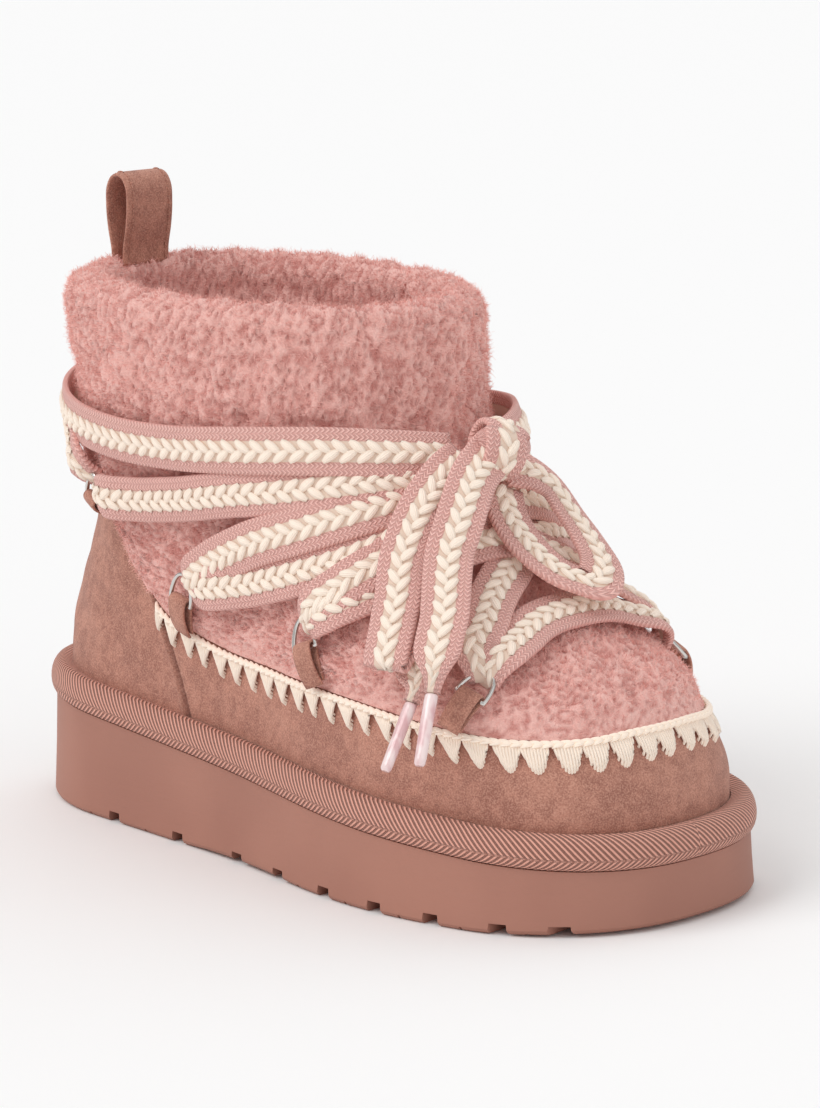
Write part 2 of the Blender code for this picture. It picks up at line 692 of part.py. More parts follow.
def make_rings():
    """Four D-rings and tabs on each side."""
    for side, sign in (("lateral", -1), ("medial", 1)):
        for number, (turn, level, tab_turn, tab_level, sink) in enumerate(RINGS, 1):
            here, way, normal = seat(sign * turn, level, sign * tab_turn, tab_level, sink)
            make_ring(f"ring_{side}_{number}", here, way, normal)
            make_tab(f"tab_{side}_{number}", here, way, normal)


def make_pull_loop():
    """Suede strap folded over at the back of the collar."""
    crest = upper(1.0, math.pi, -WALL / 2) + [0.0, 0.0, WALL / 2 + COLLAR_ROLL + PILE_LUMP + GAP]
    middle = crest + [LOOP_FORWARD, 0.0, 0.0]
    points = []
    for share, spread in ((0.0, 0.55), (0.3, 0.85), (0.6, 1.0)):
        points.append(middle + [-spread * LOOP_SPREAD / 2, 0, share * LOOP_HEIGHT])
    for a in np.linspace(0, math.pi, 7)[1:-1]:
        points.append(middle + [-math.cos(a) * LOOP_SPREAD / 2, 0,
                                LOOP_HEIGHT * (0.72 + 0.28 * math.sin(a))])
    for share, spread in ((0.6, 1.0), (0.3, 0.85), (0.0, 0.55)):
        points.append(middle + [spread * LOOP_SPREAD / 2, 0, share * LOOP_HEIGHT])
    points = np.array(points)
    along = np.gradient(points, axis=0)
    normals = np.cross(along, np.array([0.0, 1.0, 0.0]))
    return ribbon("pull_loop", "suede", points, normals, LOOP_WIDTH, LOOP_THICKNESS)


def cut_grooves(sole):
    """Main cross grooves of the tread, swept back a little towards the middle."""
    for number, station in enumerate(GROOVES):
        x = station * HALF
        rows = []
        for y in (-1.2 * BALL_HALF, 0.0, 1.2 * BALL_HALF):
            sweep = GROOVE_SWEEP * (abs(y) / BALL_HALF)
            rows.append([(x + sweep + u, y, z)
                         for u, z in ((-GROOVE_MOUTH, -GROOVE_DEPTH), (GROOVE_MOUTH, -GROOVE_DEPTH),
                                      (GROOVE_FLOOR, GROOVE_DEPTH), (-GROOVE_FLOOR, GROOVE_DEPTH))])
        cutter = loft(f"groove_{number}", "sole_foam", np.array(rows)[:, ::-1])
        cutter.hide_render = True
        cutter.display_type = "WIRE"
        cut = sole.modifiers.new(cutter.name, "BOOLEAN")
        cut.operation = "DIFFERENCE"
        cut.solver = "EXACT"
        cut.object = cutter


def clear_scene():
    """Removes what the scene starts with."""
    for old in list(bpy.data.objects):
        bpy.data.objects.remove(old, do_unlink=True)


def main():
    """Makes every piece of the boot."""
    clear_scene()
    cut_grooves(make_outsole())
    make_welt()
    make_insole()
    make_upper()
    make_fleece()
    make_edging()
    make_pull_loop()
    make_rings()
    make_lacing()
    make_bow()


main()
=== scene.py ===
"""Fur-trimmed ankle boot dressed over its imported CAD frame.

Laid out as a Blender add-on: the property groups hold the sizes and colours, one operator
makes each piece or group of like pieces, and the panel lists them. Metres throughout; toe
along +X, up +Z, and the lateral side of this right boot faces -Y.
"""
import math

import bpy
import numpy as np
from mathutils import Matrix, Vector
from mathutils.kdtree import KDTree


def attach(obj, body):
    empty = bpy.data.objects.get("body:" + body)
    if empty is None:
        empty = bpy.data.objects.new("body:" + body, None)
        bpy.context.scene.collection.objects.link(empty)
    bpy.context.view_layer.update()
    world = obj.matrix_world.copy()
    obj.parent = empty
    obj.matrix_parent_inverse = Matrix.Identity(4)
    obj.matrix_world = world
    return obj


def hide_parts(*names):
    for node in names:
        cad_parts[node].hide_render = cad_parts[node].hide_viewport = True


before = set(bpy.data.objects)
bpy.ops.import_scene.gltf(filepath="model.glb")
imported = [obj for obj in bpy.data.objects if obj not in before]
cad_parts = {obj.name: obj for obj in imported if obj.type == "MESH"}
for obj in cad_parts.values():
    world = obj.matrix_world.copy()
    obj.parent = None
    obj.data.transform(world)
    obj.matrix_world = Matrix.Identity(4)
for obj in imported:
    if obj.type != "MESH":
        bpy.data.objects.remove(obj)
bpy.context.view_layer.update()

bl_info = {
    "name": "Fur-trimmed ankle boot",
    "version": (1, 0, 0),
    "blender": (4, 5, 0),
    "location": "View3D > Sidebar > Boot",
    "description": "Suede, curly fleece, braided lace, rings and tread of an ankle boot",
    "category": "Object",
}

# Sole and welt
SOLE_LENGTH = 0.276
BALL_WIDTH = 0.115
HEEL_STACK = 0.0365
TOE_STACK = 0.0190
TOE_ROUND = 0.045
HEEL_ROUND = 0.047
TOE_POWER = 2.35
HEEL_POWER = 2.10
SIDE_FLARE = 0.0012
EDGE_BREAK = 0.0015
TOE_SPRING = 0.0012
HEEL_BEVEL = 0.0010
ARCH_RISE = 0.0008
WELT_HEIGHT = 0.0105
WELT_PROUD = 0.0020
GROOVE_DEPTH = 0.0036
GROOVE_MOUTH = 0.0036
GROOVE_FLOOR = 0.0026
GROOVE_SWEEP = 0.0050

# Upper, lining and fleece
UPPER_INSET = 0.0072
WALL = 0.0030
COLLAR_HEIGHT = 0.1730
COLLAR_DROP = 0.0040
INSOLE_THICKNESS = 0.0050
FLEECE_THICKNESS = 0.0055
COLLAR_ROLL = 0.0070
CUFF_DEPTH = 0.0400
PILE_LUMP = 0.0009
PILE_PITCH = 0.0150
COUNTER_STEP = 0.0006
EDGING_WIDTH = 0.0030

# Pull loop, rings and tabs
LOOP_WIDTH = 0.0200
LOOP_THICKNESS = 0.0016
LOOP_HEIGHT = 0.0253
LOOP_SPREAD = 0.0100
RING_WIDTH = 0.0130
RING_DEPTH = 0.0110
RING_WIRE = 0.0015
TAB_WIDTH = 0.0078
TAB_THICKNESS = 0.0011
TAB_LENGTH = 0.0130

# Lace
LACE_WIDTH = 0.0150
LACE_THICKNESS = 0.0026
AGLET_LENGTH = 0.0220
AGLET_WIDTH = 0.0042
KNOT_SIZE = 0.0150

# Clearance between neighbouring pieces, and between the lace and the pile
GAP = 0.0003
LACE_REST = 0.0013

# Plait along the middle of the lace: its lobes' pitch, how far they start from the middle line
# and reach across, half their width and thickness, and their lift and swell over the lace
PLAIT_PITCH = 0.0052
PLAIT_START = 0.0033
PLAIT_REACH = 0.0039
PLAIT_HALF = 0.00150
PLAIT_THICK = 0.00085
PLAIT_LIFT = 0.00105
PLAIT_SWELL = 0.00075
PLAIT_LEAD = 0.0008
PLAIT_TAIL = 0.0042

# Whipstitch petals and the crocheted chain above them
PETAL_PITCH = 0.0086
PETAL_DEPTH = 0.0088
PETAL_HALF = 0.0036
PETAL_FOOT = 0.0008
PETAL_TOE_FOOT = 0.0021
PETAL_TOP = 0.0004
PETAL_THREADS = 9
THREAD_RADIUS = 0.00052
CHAIN_PITCH = 0.0029
CHAIN_LINK = 0.0040
CHAIN_RADIUS = 0.00078

# Knot: how it sits on the bow's place, its lean and the half sizes of its core
KNOT_DROP = 0.004
KNOT_RAISE = 1.2
KNOT_LEAN = 24
KNOT_CORE = (0.0078, 0.0076, 0.0062)
KNOT_WEAVE = (7, 44)

# Small nicks moulded between the grooves of the tread
NICK_HALF = 0.0006
NICK_DEPTH = 0.0012
NICK_PROUD = 0.002

# Stitches of the pull loop
LOOP_STITCH = 0.0023
LOOP_STITCH_PITCH = 0.0030
LOOP_STITCH_INSET = 0.0022
LOOP_THREAD = 0.00028
LOOP_DEEP = 0.0045

# Fibres in each of the pile's three meshes
FIBRES = 45000

# The photograph in pixels: its size, the camera's focal length and the boot's origin
IMAGE = (820, 1108)
FOCAL = 4337.0
ORIGIN_PX = (372.0, 841.0)

HALF = SOLE_LENGTH / 2
BALL_HALF = BALL_WIDTH / 2
FOOT_HALF = HALF - UPPER_INSET

# Middle line of the foot beside the middle of the boot's whole width
SIDE_SHIFT = 0.00144
SHIFT = np.array([0.0, SIDE_SHIFT, 0.0])
MM = 0.001

# Half widths of the sole as shares of half the ball width, by station from heel (-1) to toe (1)
#            station lateral medial
SOLE_PLAN = ((-1.00, 0.60, 0.64),
             (-0.62, 0.700, 0.730),
             (-0.15, 0.835, 0.645),
             (0.42, 1.065, 0.930),
             (1.00, 0.850, 0.925))

# Sections of the upper from the feather edge (level 0) to the collar (level 1).
# back, front: ends as shares of half the foot length. rise_back, rise_front: shares of the way
# from the platform to the collar. width: share of the foot's width. heel, toe: rounding lengths
# as shares of half the foot length. shaft: how far the plan has turned from foot into shaft.
#         level   back  front rise_b rise_f width heel  toe   shaft
SECTIONS = ((0.00, -1.000, 1.000, 0.000, 0.000, 1.00, 0.31, 0.30, 0.00),
            (0.09, -1.000, 1.000, 0.080, 0.075, 1.00, 0.31, 0.30, 0.00),
            (0.19, -0.990, 0.990, 0.170, 0.160, 0.99, 0.32, 0.34, 0.02),
            (0.28, -0.965, 0.938, 0.245, 0.238, 0.95, 0.34, 0.42, 0.08),
            (0.37, -0.930, 0.850, 0.330, 0.300, 0.89, 0.36, 0.52, 0.20),
            (0.48, -0.885, 0.705, 0.420, 0.368, 0.82, 0.38, 0.60, 0.40),
            (0.60, -0.855, 0.500, 0.530, 0.470, 0.78, 0.42, 0.60, 0.65),
            (0.73, -0.848, 0.315, 0.665, 0.610, 0.79, 0.48, 0.54, 0.85),
            (0.87, -0.842, 0.200, 0.825, 0.795, 0.85, 0.51, 0.51, 0.97),
            (1.00, -0.840, 0.165, 1.000, 1.000, 0.90, 0.50, 0.50, 1.00))

EDGING_SPAN = 0.655
LACE_LIFT = GAP + FLEECE_THICKNESS + PILE_LUMP + LACE_REST + LACE_THICKNESS / 2
SEAT_LIFT = GAP + FLEECE_THICKNESS + PILE_LUMP + GAP + TAB_THICKNESS
LOOP_FORWARD = 0.0020

# Cross grooves of the tread, as stations of half the sole's length
GROOVES = (-0.593, -0.343, -0.11, 0.06, 0.239, 0.408, 0.567, 0.733, 0.852)
NICKS = (-0.69, -0.47, -0.235, -0.035, 0.14, 0.315, 0.48, 0.645, 0.79, 0.92)

# Lower edge of the fleece, as a level of the upper, by angle from the toe (0) to the heel (1)
#          turn  level
FLEECE_EDGE = ((0.00, 0.282),
               (0.04, 0.281),
               (0.11, 0.269),
               (0.20, 0.262),
               (0.36, 0.280),
               (0.48, 0.278),
               (0.59, 0.295),
               (0.655, 0.350),
               (0.685, 0.430),
               (0.71, 0.560),
               (0.74, 0.600),
               (1.00, 0.600))

# Front seam of the heel counter, from the feather edge up to the fleece
#                 level  turn
COUNTER_SEAM = ((0.00, 0.610),
                (0.083, 0.613),
                (0.237, 0.639),
                (0.343, 0.659),
                (0.62, 0.700))

# Lace eyelets on each side, from toe to heel: D-rings, the way their tabs point on the
# fleece, and how far they sink into its lower edge as a share of its thickness
#          turn   level  tab_turn tab_level sink
RINGS = ((0.209, 0.370, 0.245, 0.300, 0.20),
         (0.398, 0.446, 0.412, 0.330, 0.00),
         (0.577, 0.472, 0.592, 0.380, -0.03),
         (0.704, 0.658, 0.735, 0.560, 0.04))

# Runs of lace over the fleece, as turn, level and lift in shares of the lace's thickness.
# A positive turn is medial. Runs from one side are mirrored for the other.
TOE_BAR = ((-0.178, 0.414, 0.0), (-0.110, 0.487, 0.0), (0.0, 0.520, 0.0), (0.110, 0.487, 0.0),
           (0.178, 0.414, 0.0))
CROSSINGS = (
    ((-0.200, 0.432, 0.0), (-0.145, 0.515, 0.3), (-0.050, 0.595, 0.3), (0.030, 0.640, 0.3),
     (0.150, 0.625, 0.2), (0.280, 0.555, 0.2), (0.362, 0.490, 0.0)),
    ((-0.371, 0.495, 0.6), (-0.300, 0.565, 0.9), (-0.220, 0.620, 0.9), (-0.100, 0.680, 0.8),
     (0.000, 0.700, 0.8), (0.100, 0.690, 0.8), (0.200, 0.655, 0.4), (0.314, 0.610, 0.0),
     (0.422, 0.560, 0.0), (0.536, 0.496, 0.0)),
    ((-0.546, 0.514, 0.3), (-0.497, 0.570, 0.7), (-0.406, 0.640, 0.7), (-0.286, 0.690, 0.8),
     (-0.150, 0.725, 1.2), (0.000, 0.755, 1.5), (0.150, 0.765, 1.2), (0.281, 0.760, 0.6),
     (0.380, 0.745, 0.3), (0.517, 0.700, 0.0), (0.592, 0.675, 0.0), (0.662, 0.660, 0.0)),
)
WRAP = ((-0.724, 0.708, 0.0), (-0.760, 0.735, 0.0), (-0.850, 0.785, 0.0), (-1.000, 0.805, 0.0),
        (-1.150, 0.800, 0.0), (-1.300, 0.795, 0.0), (-1.420, 0.800, 0.0), (-1.550, 0.815, 0.2),
        (-1.656, 0.828, 0.8), (-1.780, 0.828, 1.6), (-1.890, 0.808, 2.3), (-1.960, 0.790, 2.6))
OVER = 0.95

# The bow, on the same terms, with its free ends
KNOT = (-0.015, 0.765, 6.1)
LOOP_LATERAL = ((-0.044, 0.765, 6.8), (-0.080, 0.738, 7.2), (-0.117, 0.700, 6.4),
                (-0.169, 0.640, 5.3), (-0.226, 0.555, 4.2), (-0.275, 0.450, 3.8),
                (-0.292, 0.385, 3.5), (-0.296, 0.365, 3.0), (-0.288, 0.390, 2.6),
                (-0.262, 0.470, 2.7), (-0.205, 0.580, 3.2), (-0.135, 0.680, 4.1),
                (-0.066, 0.742, 5.0))
LOOP_MEDIAL = ((0.012, 0.740, 6.8), (0.040, 0.710, 6.6), (0.060, 0.680, 5.7),
               (0.072, 0.630, 4.6), (0.068, 0.575, 4.2), (0.050, 0.535, 3.6),
               (0.022, 0.520, 2.9), (-0.004, 0.545, 2.6), (-0.018, 0.600, 2.7),
               (-0.012, 0.660, 2.8), (0.000, 0.708, 3.4))
END_FRONT = ((-0.014, 0.764, 9.2), (-0.036, 0.742, 8.9), (-0.070, 0.700, 8.4),
             (-0.112, 0.640, 7.6), (-0.165, 0.565, 6.0), (-0.205, 0.490, 5.4),
             (-0.232, 0.420, 5.0), (-0.248, 0.360, 4.4), (-0.256, 0.310, 3.9))
END_BACK = ((-0.040, 0.760, 3.8), (-0.066, 0.742, 3.8), (-0.100, 0.715, 3.2),
            (-0.150, 0.640, 2.2), (-0.200, 0.550, 1.6), (-0.248, 0.445, 1.2),
            (-0.270, 0.380, 1.0), (-0.277, 0.330, 1.2), (-0.282, 0.308, 1.3))

# Each part of the bow: its CAD node, keys, piece and which of its ends is narrow
BOW = (("bow_loop_lateral", LOOP_LATERAL, "loop_lateral", (False, False)),
       ("bow_loop_medial", LOOP_MEDIAL, "loop_medial", (False, False)),
       ("lace_end_front", END_FRONT, "end_front", (False, True)),
       ("lace_end_back", END_BACK, "end_back", (False, True)))
BOW_DIPS = (2.2, 1.3, 0.4)

# Corners of a grid's cell, in the order of its face
CORNERS = ((0, 0), (0, 1), (1, 1), (1, 0))


def unit(vectors):
    """Vectors brought to length 1 along the last axis."""
    return vectors / np.linalg.norm(vectors, axis=-1, keepdims=True)


def walked(points):
    """Length along a line of points, from 0 at the first."""
    return np.concatenate([[0], np.cumsum(np.linalg.norm(np.diff(points, axis=0), axis=1))])


def smooth(at, rows, column):
    """Cubic curve through one column of a table whose first column is the place."""
    table = np.asarray(rows)
    xs = table[:, 0]
    ys = table[:, column]
    slope = np.gradient(ys, xs)
    at = np.clip(at, xs[0], xs[-1])
    i = np.clip(np.searchsorted(xs, at, side="right") - 1, 0, len(xs) - 2)
    step = xs[i + 1] - xs[i]
    t = (at - xs[i]) / step
    return ((2 * t**3 - 3 * t**2 + 1) * ys[i] + (t**3 - 2 * t**2 + t) * step * slope[i]
            + (3 * t**2 - 2 * t**3) * ys[i + 1] + (t**3 - t**2) * step * slope[i + 1])


def ramp(x, low, high):
    """Smooth step from 0 at low to 1 at high."""
    t = np.clip((x - low) / (high - low), 0.0, 1.0)
    return t * t * (3 - 2 * t)


def rounding(x, back, front, heel, toe):
    """Share of the full width at x, falling to 0 at both ends over the rounding lengths."""
    at_heel = np.clip((back + heel - x) / heel, 0.0, 1.0)
    at_toe = np.clip((x - front + toe) / toe, 0.0, 1.0)
    return ((1 - at_heel**HEEL_POWER) ** (1 / HEEL_POWER)
            * (1 - at_toe**TOE_POWER) ** (1 / TOE_POWER))


def side_width(x, angle, inset=0.0):
    """Half width of the plan at x, lateral where sin(angle) is negative, else medial."""
    station = x / HALF
    share = np.where(np.sin(angle) < 0, smooth(station, SOLE_PLAN, 1),
                     smooth(station, SOLE_PLAN, 2))
    return BALL_HALF * share - inset


def platform(x):
    """Height of the platform's top, a wedge from heel to toe."""
    return HEEL_STACK + (TOE_STACK - HEEL_STACK) * (x / HALF + 1) / 2


def turns(count):
    """Angles of a ring from the toe tip round by the medial side, in pairs across the foot."""
    return np.arange(count) * 2 * math.pi / count


def sole_outline(angle, inset):
    """The sole's outline at its floor edge, moved inwards along its normals."""
    def edge(a):
        x = HALF * np.cos(a)
        y = np.sign(np.sin(a)) * side_width(x, a) * rounding(x, -HALF, HALF, HEEL_ROUND, TOE_ROUND)
        return np.stack([x, y], -1)
    tiny = 0.01
    along = unit(edge(angle + tiny) - edge(angle - tiny))
    inward = np.stack([-along[..., 1], along[..., 0]], -1)
    return edge(angle) + inset * inward


def upper(level, angle, lift=0.0):
    """Point of the upper's outer face, raised by lift along its normal."""
    def face(v, a):
        back, front, rise_b, rise_f, width, heel, toe, shaft = (
            smooth(v, SECTIONS, k) for k in range(1, 9))
        share = (1 + np.cos(a)) / 2
        x = FOOT_HALF * (back + (front - back) * share)
        low_back = platform(FOOT_HALF * back)
        low_front = platform(FOOT_HALF * front)
        z_back = low_back + rise_b * (COLLAR_HEIGHT - low_back)
        z_front = low_front + rise_f * (COLLAR_HEIGHT - COLLAR_DROP - low_front)
        z = z_back + (z_front - z_back) * share + GAP
        plan = (1 - shaft) * side_width(x, a, UPPER_INSET) + shaft * BALL_HALF
        y = (np.sign(np.sin(a)) * width * plan
             * rounding(x, FOOT_HALF * back, FOOT_HALF * front, FOOT_HALF * heel,
                        FOOT_HALF * toe))
        return np.stack([x, y, z], -1)
    level, angle, lift = np.broadcast_arrays(np.clip(level, 0.0, 1.0), angle, lift)
    tiny = 0.004
    up = face(level + tiny, angle) - face(level - tiny, angle)
    around = face(level, angle + 3 * tiny) - face(level, angle - 3 * tiny)
    return face(level, angle) + lift[..., None] * unit(np.cross(around, up))


def climb(level, angle, distance):
    """The level reached by going a distance up the upper's face."""
    low = np.clip(level - 0.01, 0.0, 1.0)
    high = np.clip(level + 0.01, 0.0, 1.0)
    rate = np.linalg.norm(upper(high, angle) - upper(low, angle), axis=-1) / (high - low)
    return level + distance / rate


def fleece_edge(angle):
    """Level of the fleece's lower edge round the boot."""
    turn = np.abs((angle + math.pi) % (2 * math.pi) - math.pi) / math.pi
    return smooth(turn, FLEECE_EDGE, 1)


def pile(points):
    """Lumps of the curled pile, between about -1 and 1, from crossing waves."""
    x, y, z = (points[..., k] * 2 * math.pi / PILE_PITCH for k in range(3))
    return (np.sin(x + 0.7 * y + 0.4) * np.sin(1.1 * y - 0.5 * z)
            + np.sin(0.8 * z + 0.6 * x + 1.9) * np.sin(0.9 * z - 0.8 * y + 0.3)) / 1.3


def route(keys, count, base):
    """Points and normals of a run over the fleece. The keys' turn, level and lift pass through a
    smooth curve, and base is the lift of the lace's middle where it lies on the fleece."""
    keys = np.asarray(keys, dtype=float)
    rough = upper(keys[:, 1], keys[:, 0] * math.pi, base + keys[:, 2] * LACE_THICKNESS)
    place = walked(rough)
    table = np.column_stack([place, keys])
    at = np.linspace(0, place[-1], count)
    turn, level, lift = (smooth(at, table, k) for k in (1, 2, 3))
    points = upper(level, turn * math.pi, base + lift * LACE_THICKNESS)
    normals = upper(level, turn * math.pi, base + 0.01) - upper(level, turn * math.pi, base)
    return points, unit(normals)


def end_taper(count, ends=(True, True), share=0.12, least=0.45):
    """Width of a run that narrows where it goes through a ring."""
    at = np.linspace(0, 1, count)
    width = np.ones(count)
    if ends[0]:
        width *= least + (1 - least) * ramp(at, 0, share)
    if ends[1]:
        width *= least + (1 - least) * ramp(1 - at, 0, share)
    return width


def mirrored(keys):
    """A run for the other side of the foot."""
    return tuple((-turn, level, lift) for turn, level, lift in keys)


def lifted(keys, turn, reach):
    """A run raised over another one near a turn."""
    return tuple((t, level, lift + OVER * max(0.0, 1 - abs(t - turn) / reach))
                 for t, level, lift in keys)


def seat(turn, level, tab_turn, tab_level, sink):
    """Frame of a ring: its seat on the fleece, the way to its tab's root, and the normal."""
    lift = SEAT_LIFT - sink * FLEECE_THICKNESS
    middle = upper(level, turn * math.pi, lift)
    root = upper(tab_level, tab_turn * math.pi, lift)
    normal = unit(upper(level, turn * math.pi, lift + 0.01) - middle)
    way = root - middle
    way = unit(way - normal * way.dot(normal))
    return middle + way * RING_DEPTH / 2, way, normal


def mesh_piece(name, slot, points, loops, starts, uv=None, shade=None, sharp=None):
    """An object of a new smooth mesh in a look. sharp is the angle of its hard edges."""
    data = bpy.data.meshes.new(name)
    data.vertices.add(len(points))
    data.vertices.foreach_set("co", (points + SHIFT).ravel())
    data.loops.add(len(loops))
    data.loops.foreach_set("vertex_index", loops)
    data.polygons.add(len(starts))
    data.polygons.foreach_set("loop_start", starts)
    data.update(calc_edges=True)
    if uv is not None:
        data.uv_layers.new(name="UVMap").data.foreach_set("uv", uv.ravel())
    if shade is not None:
        tone = data.attributes.new("shade", "FLOAT", "POINT")
        tone.data.foreach_set("value", np.asarray(shade, dtype=float).ravel())
    data.shade_smooth()
    if sharp is not None:
        data.set_sharp_from_angle(angle=math.radians(sharp))
    data.materials.append(material(slot))
    made = bpy.data.objects.new(name, data)
    bpy.context.collection.objects.link(made)
    return made


def grid_mesh(name, slot, rows, wrap=(False, True), caps=False, uv=None, shade=None, sharp=None):
    """A mesh over a grid of points, rows[i, k]. wrap says whether the last row meets the first
    and the last point the first. uv has one more row or column where it wraps. shade is one
    number a point, kept as the attribute "shade"."""
    rows = np.asarray(rows, dtype=float)
    count, width = rows.shape[:2]
    i = np.arange(count if wrap[0] else count - 1)[:, None]
    k = np.arange(width if wrap[1] else width - 1)[None]
    index = np.stack([((i + di) % count) * width + (k + dk) % width for di, dk in CORNERS], -1)
    loops = [index.reshape(-1)]
    starts = [np.arange(index.size // 4) * 4]
    place = []
    if uv is not None:
        uv = np.asarray(uv, dtype=float)
        place.append(np.stack([uv[i + di, k + dk] for di, dk in CORNERS], 2).reshape(-1, 2))
    if caps == "ladder":
        half = width // 2
        near = np.arange(half)
        across = np.stack([near, near + 1, (-near - 1) % width, -near % width], -1)
        for base, ring in ((0, across[:, ::-1]), ((count - 1) * width, across)):
            starts.append(sum(map(len, loops)) + np.arange(half) * 4)
            loops.append((base + ring).ravel())
    elif caps:
        for base, ring in ((0, np.arange(width)[::-1]), ((count - 1) * width, np.arange(width))):
            starts.append(np.array([sum(map(len, loops))]))
            loops.append(base + ring)
            if uv is not None:
                place.append(uv[base // width, ring])
    return mesh_piece(name, slot, rows.reshape(-1, 3), np.concatenate(loops),
                      np.concatenate(starts), np.concatenate(place) if place else None,
                      shade, sharp)


def merge(name, objects):
    """Objects with the same material joined into the first of them."""
    first = objects[0]
    if len(objects) > 1:
        with bpy.context.temp_override(active_object=first, object=first,
                                       selected_objects=objects,
                                       selected_editable_objects=objects):
            bpy.ops.object.join()
    first.name = name
    first.data.name = name
    return first


def dress(piece, slot, *nodes):
    """Hangs a piece on the boot and hides the CAD nodes it stands for. slot is not used."""
    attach(piece, "root")
    if nodes:
        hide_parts(*nodes)
    return piece


# Shaders
class Shade:
    """A node socket that behaves as a number: arithmetic on it makes Math nodes."""

    def __init__(self, tree, socket):
        self.tree = tree
        self.socket = socket

    def node(self, kind, inputs=(), output=0, **settings):
        """Makes one node, feeds its inputs by place or name, and returns one output."""
        made = self.tree.nodes.new(kind)
        for key, value in settings.items():
            setattr(made, key, value)
        pairs = inputs.items() if isinstance(inputs, dict) else enumerate(inputs)
        for key, value in pairs:
            if isinstance(value, Shade):
                self.tree.links.new(value.socket, made.inputs[key])
            elif value is not None:
                made.inputs[key].default_value = value
        return Shade(self.tree, made.outputs[output])

    def math(self, operation, *others):
        """A Math node with this value first."""
        return self.node("ShaderNodeMath", (self, *others), operation=operation)

    def __add__(self, other):
        return self.math("ADD", other)

    __radd__ = __add__

    def __sub__(self, other):
        return self.math("SUBTRACT", other)

    def __rsub__(self, other):
        return self * -1.0 + other

    def __mul__(self, other):
        return self.math("MULTIPLY", other)

    __rmul__ = __mul__

    def __truediv__(self, other):
        return self.math("DIVIDE", other)

    def __rtruediv__(self, other):
        return self.math("POWER", -1.0) * other

    def fract(self):
        return self.math("FRACT")

    def abs(self):
        return self.math("ABSOLUTE")

    def wave(self, period):
        """Sine of the value, once every period."""
        return (self * (2 * math.pi / period)).math("SINE")

    def step(self, low, high):
        """Smooth step from 0 at low to 1 at high."""
        return self.node("ShaderNodeMapRange", (self, low, high, 0.0, 1.0),
                         interpolation_type="SMOOTHSTEP", clamp=True)

    def blend(self, first, second):
        """Mix of two colours or numbers by this value."""
        return self.node("ShaderNodeMix", {"Factor": self, 6: first, 7: second}, output=2,
                         data_type="RGBA")

    def noise(self, where, scale, detail=2.0, output=0):
        """Noise between about 0 and 1 at a place."""
        return self.node("ShaderNodeTexNoise", {"Vector": where, "Scale": scale,
                                                "Detail": detail}, output=output)

    def stretched(self, where, by):
        """A place with its three parts multiplied."""
        return self.node("ShaderNodeVectorMath", (where, by), operation="MULTIPLY")

    def part(self, axis):
        """One part of this place."""
        return self.node("ShaderNodeSeparateXYZ", (self,), output=axis)

    def shade(self):
        """The mesh's own numbers, kept as the attribute "shade"."""
        return self.node("ShaderNodeAttribute", attribute_name="shade", output=2)

    def cells(self, where, scale):
        """Distance to the nearest cell centre."""
        return self.node("ShaderNodeTexVoronoi", {"Vector": where, "Scale": scale})


def tint(red, green, blue):
    """Linear colour, with alpha, of an sRGB colour given in 0 to 255."""
    def linear(c):
        c = c / 255
        return c / 12.92 if c <= 0.04045 else ((c + 0.055) / 1.055) ** 2.4
    return (linear(red), linear(green), linear(blue), 1.0)


def opaque(colour):
    """A colour of the property group with its alpha."""
    return (*colour, 1.0)


def finish(maths, surface, colour, roughness, height=None, distance=0.0002, **constants):
    """Principled surface: colour and roughness vary, and the rest are constants."""
    tree = maths.tree
    for key, value in (("Base Color", colour), ("Roughness", roughness)):
        if isinstance(value, Shade):
            tree.links.new(value.socket, surface.inputs[key])
        else:
            surface.inputs[key].default_value = value
    for key, value in constants.items():
        surface.inputs[key.replace("_", " ")].default_value = value
    if height is not None:
        bump = maths.node("ShaderNodeBump", {"Height": height, "Distance": distance,
                                             "Strength": 1.0})
        tree.links.new(bump.socket, surface.inputs["Normal"])


def suede(maths, surface, where, uv, look):
    """Brushed nap: broad mottling, finer swept patches and grain, and painted shade at the seam.
    """
    broad = maths.noise(where, 34.0, 3.0)
    patch = maths.noise(where, 230.0, 4.0)
    grain = maths.noise(where, 2000.0, 2.0)
    tone = (broad * 0.45 + patch * 0.55).step(0.38, 0.62)
    colour = tone.blend(opaque(look.suede_dark), opaque(look.suede_light))
    colour = (grain.step(0.46, 0.66) * 0.42).blend(colour, tint(222, 170, 150))
    colour = ((1.0 - grain.step(0.30, 0.50)) * 0.35).blend(colour, tint(116, 70, 60))
    # Painted shade in the ditch at the foot of the heel counter's edge, from the mesh's "shade"
    # numbers
    colour = maths.shade().blend(colour, tint(104, 60, 52))
    finish(maths, surface, colour, 0.95, grain * 0.7 + patch * 0.5, 0.0004,
           Sheen_Weight=0.12, Sheen_Roughness=0.45)


# Light scattered inside the wool, which would take much longer as real scattering
WOOL_GLOW = tint(214, 140, 130)


def fleece_skin(maths, surface, where, uv, look):
    """Pile seen between its fibres, with painted shade in the crevices between the lumps."""
    grain = maths.noise(where, 1500.0, 3.0)
    colour = (maths.shade() * 0.6 + grain * 0.4).step(0.05, 0.85).blend(
        opaque(look.fleece_root_shade), opaque(look.fleece_tip))
    finish(maths, surface, colour, 1.0, grain, 0.0007, Sheen_Weight=0.2, Sheen_Roughness=0.6,
           Emission_Color=WOOL_GLOW, Emission_Strength=0.04)


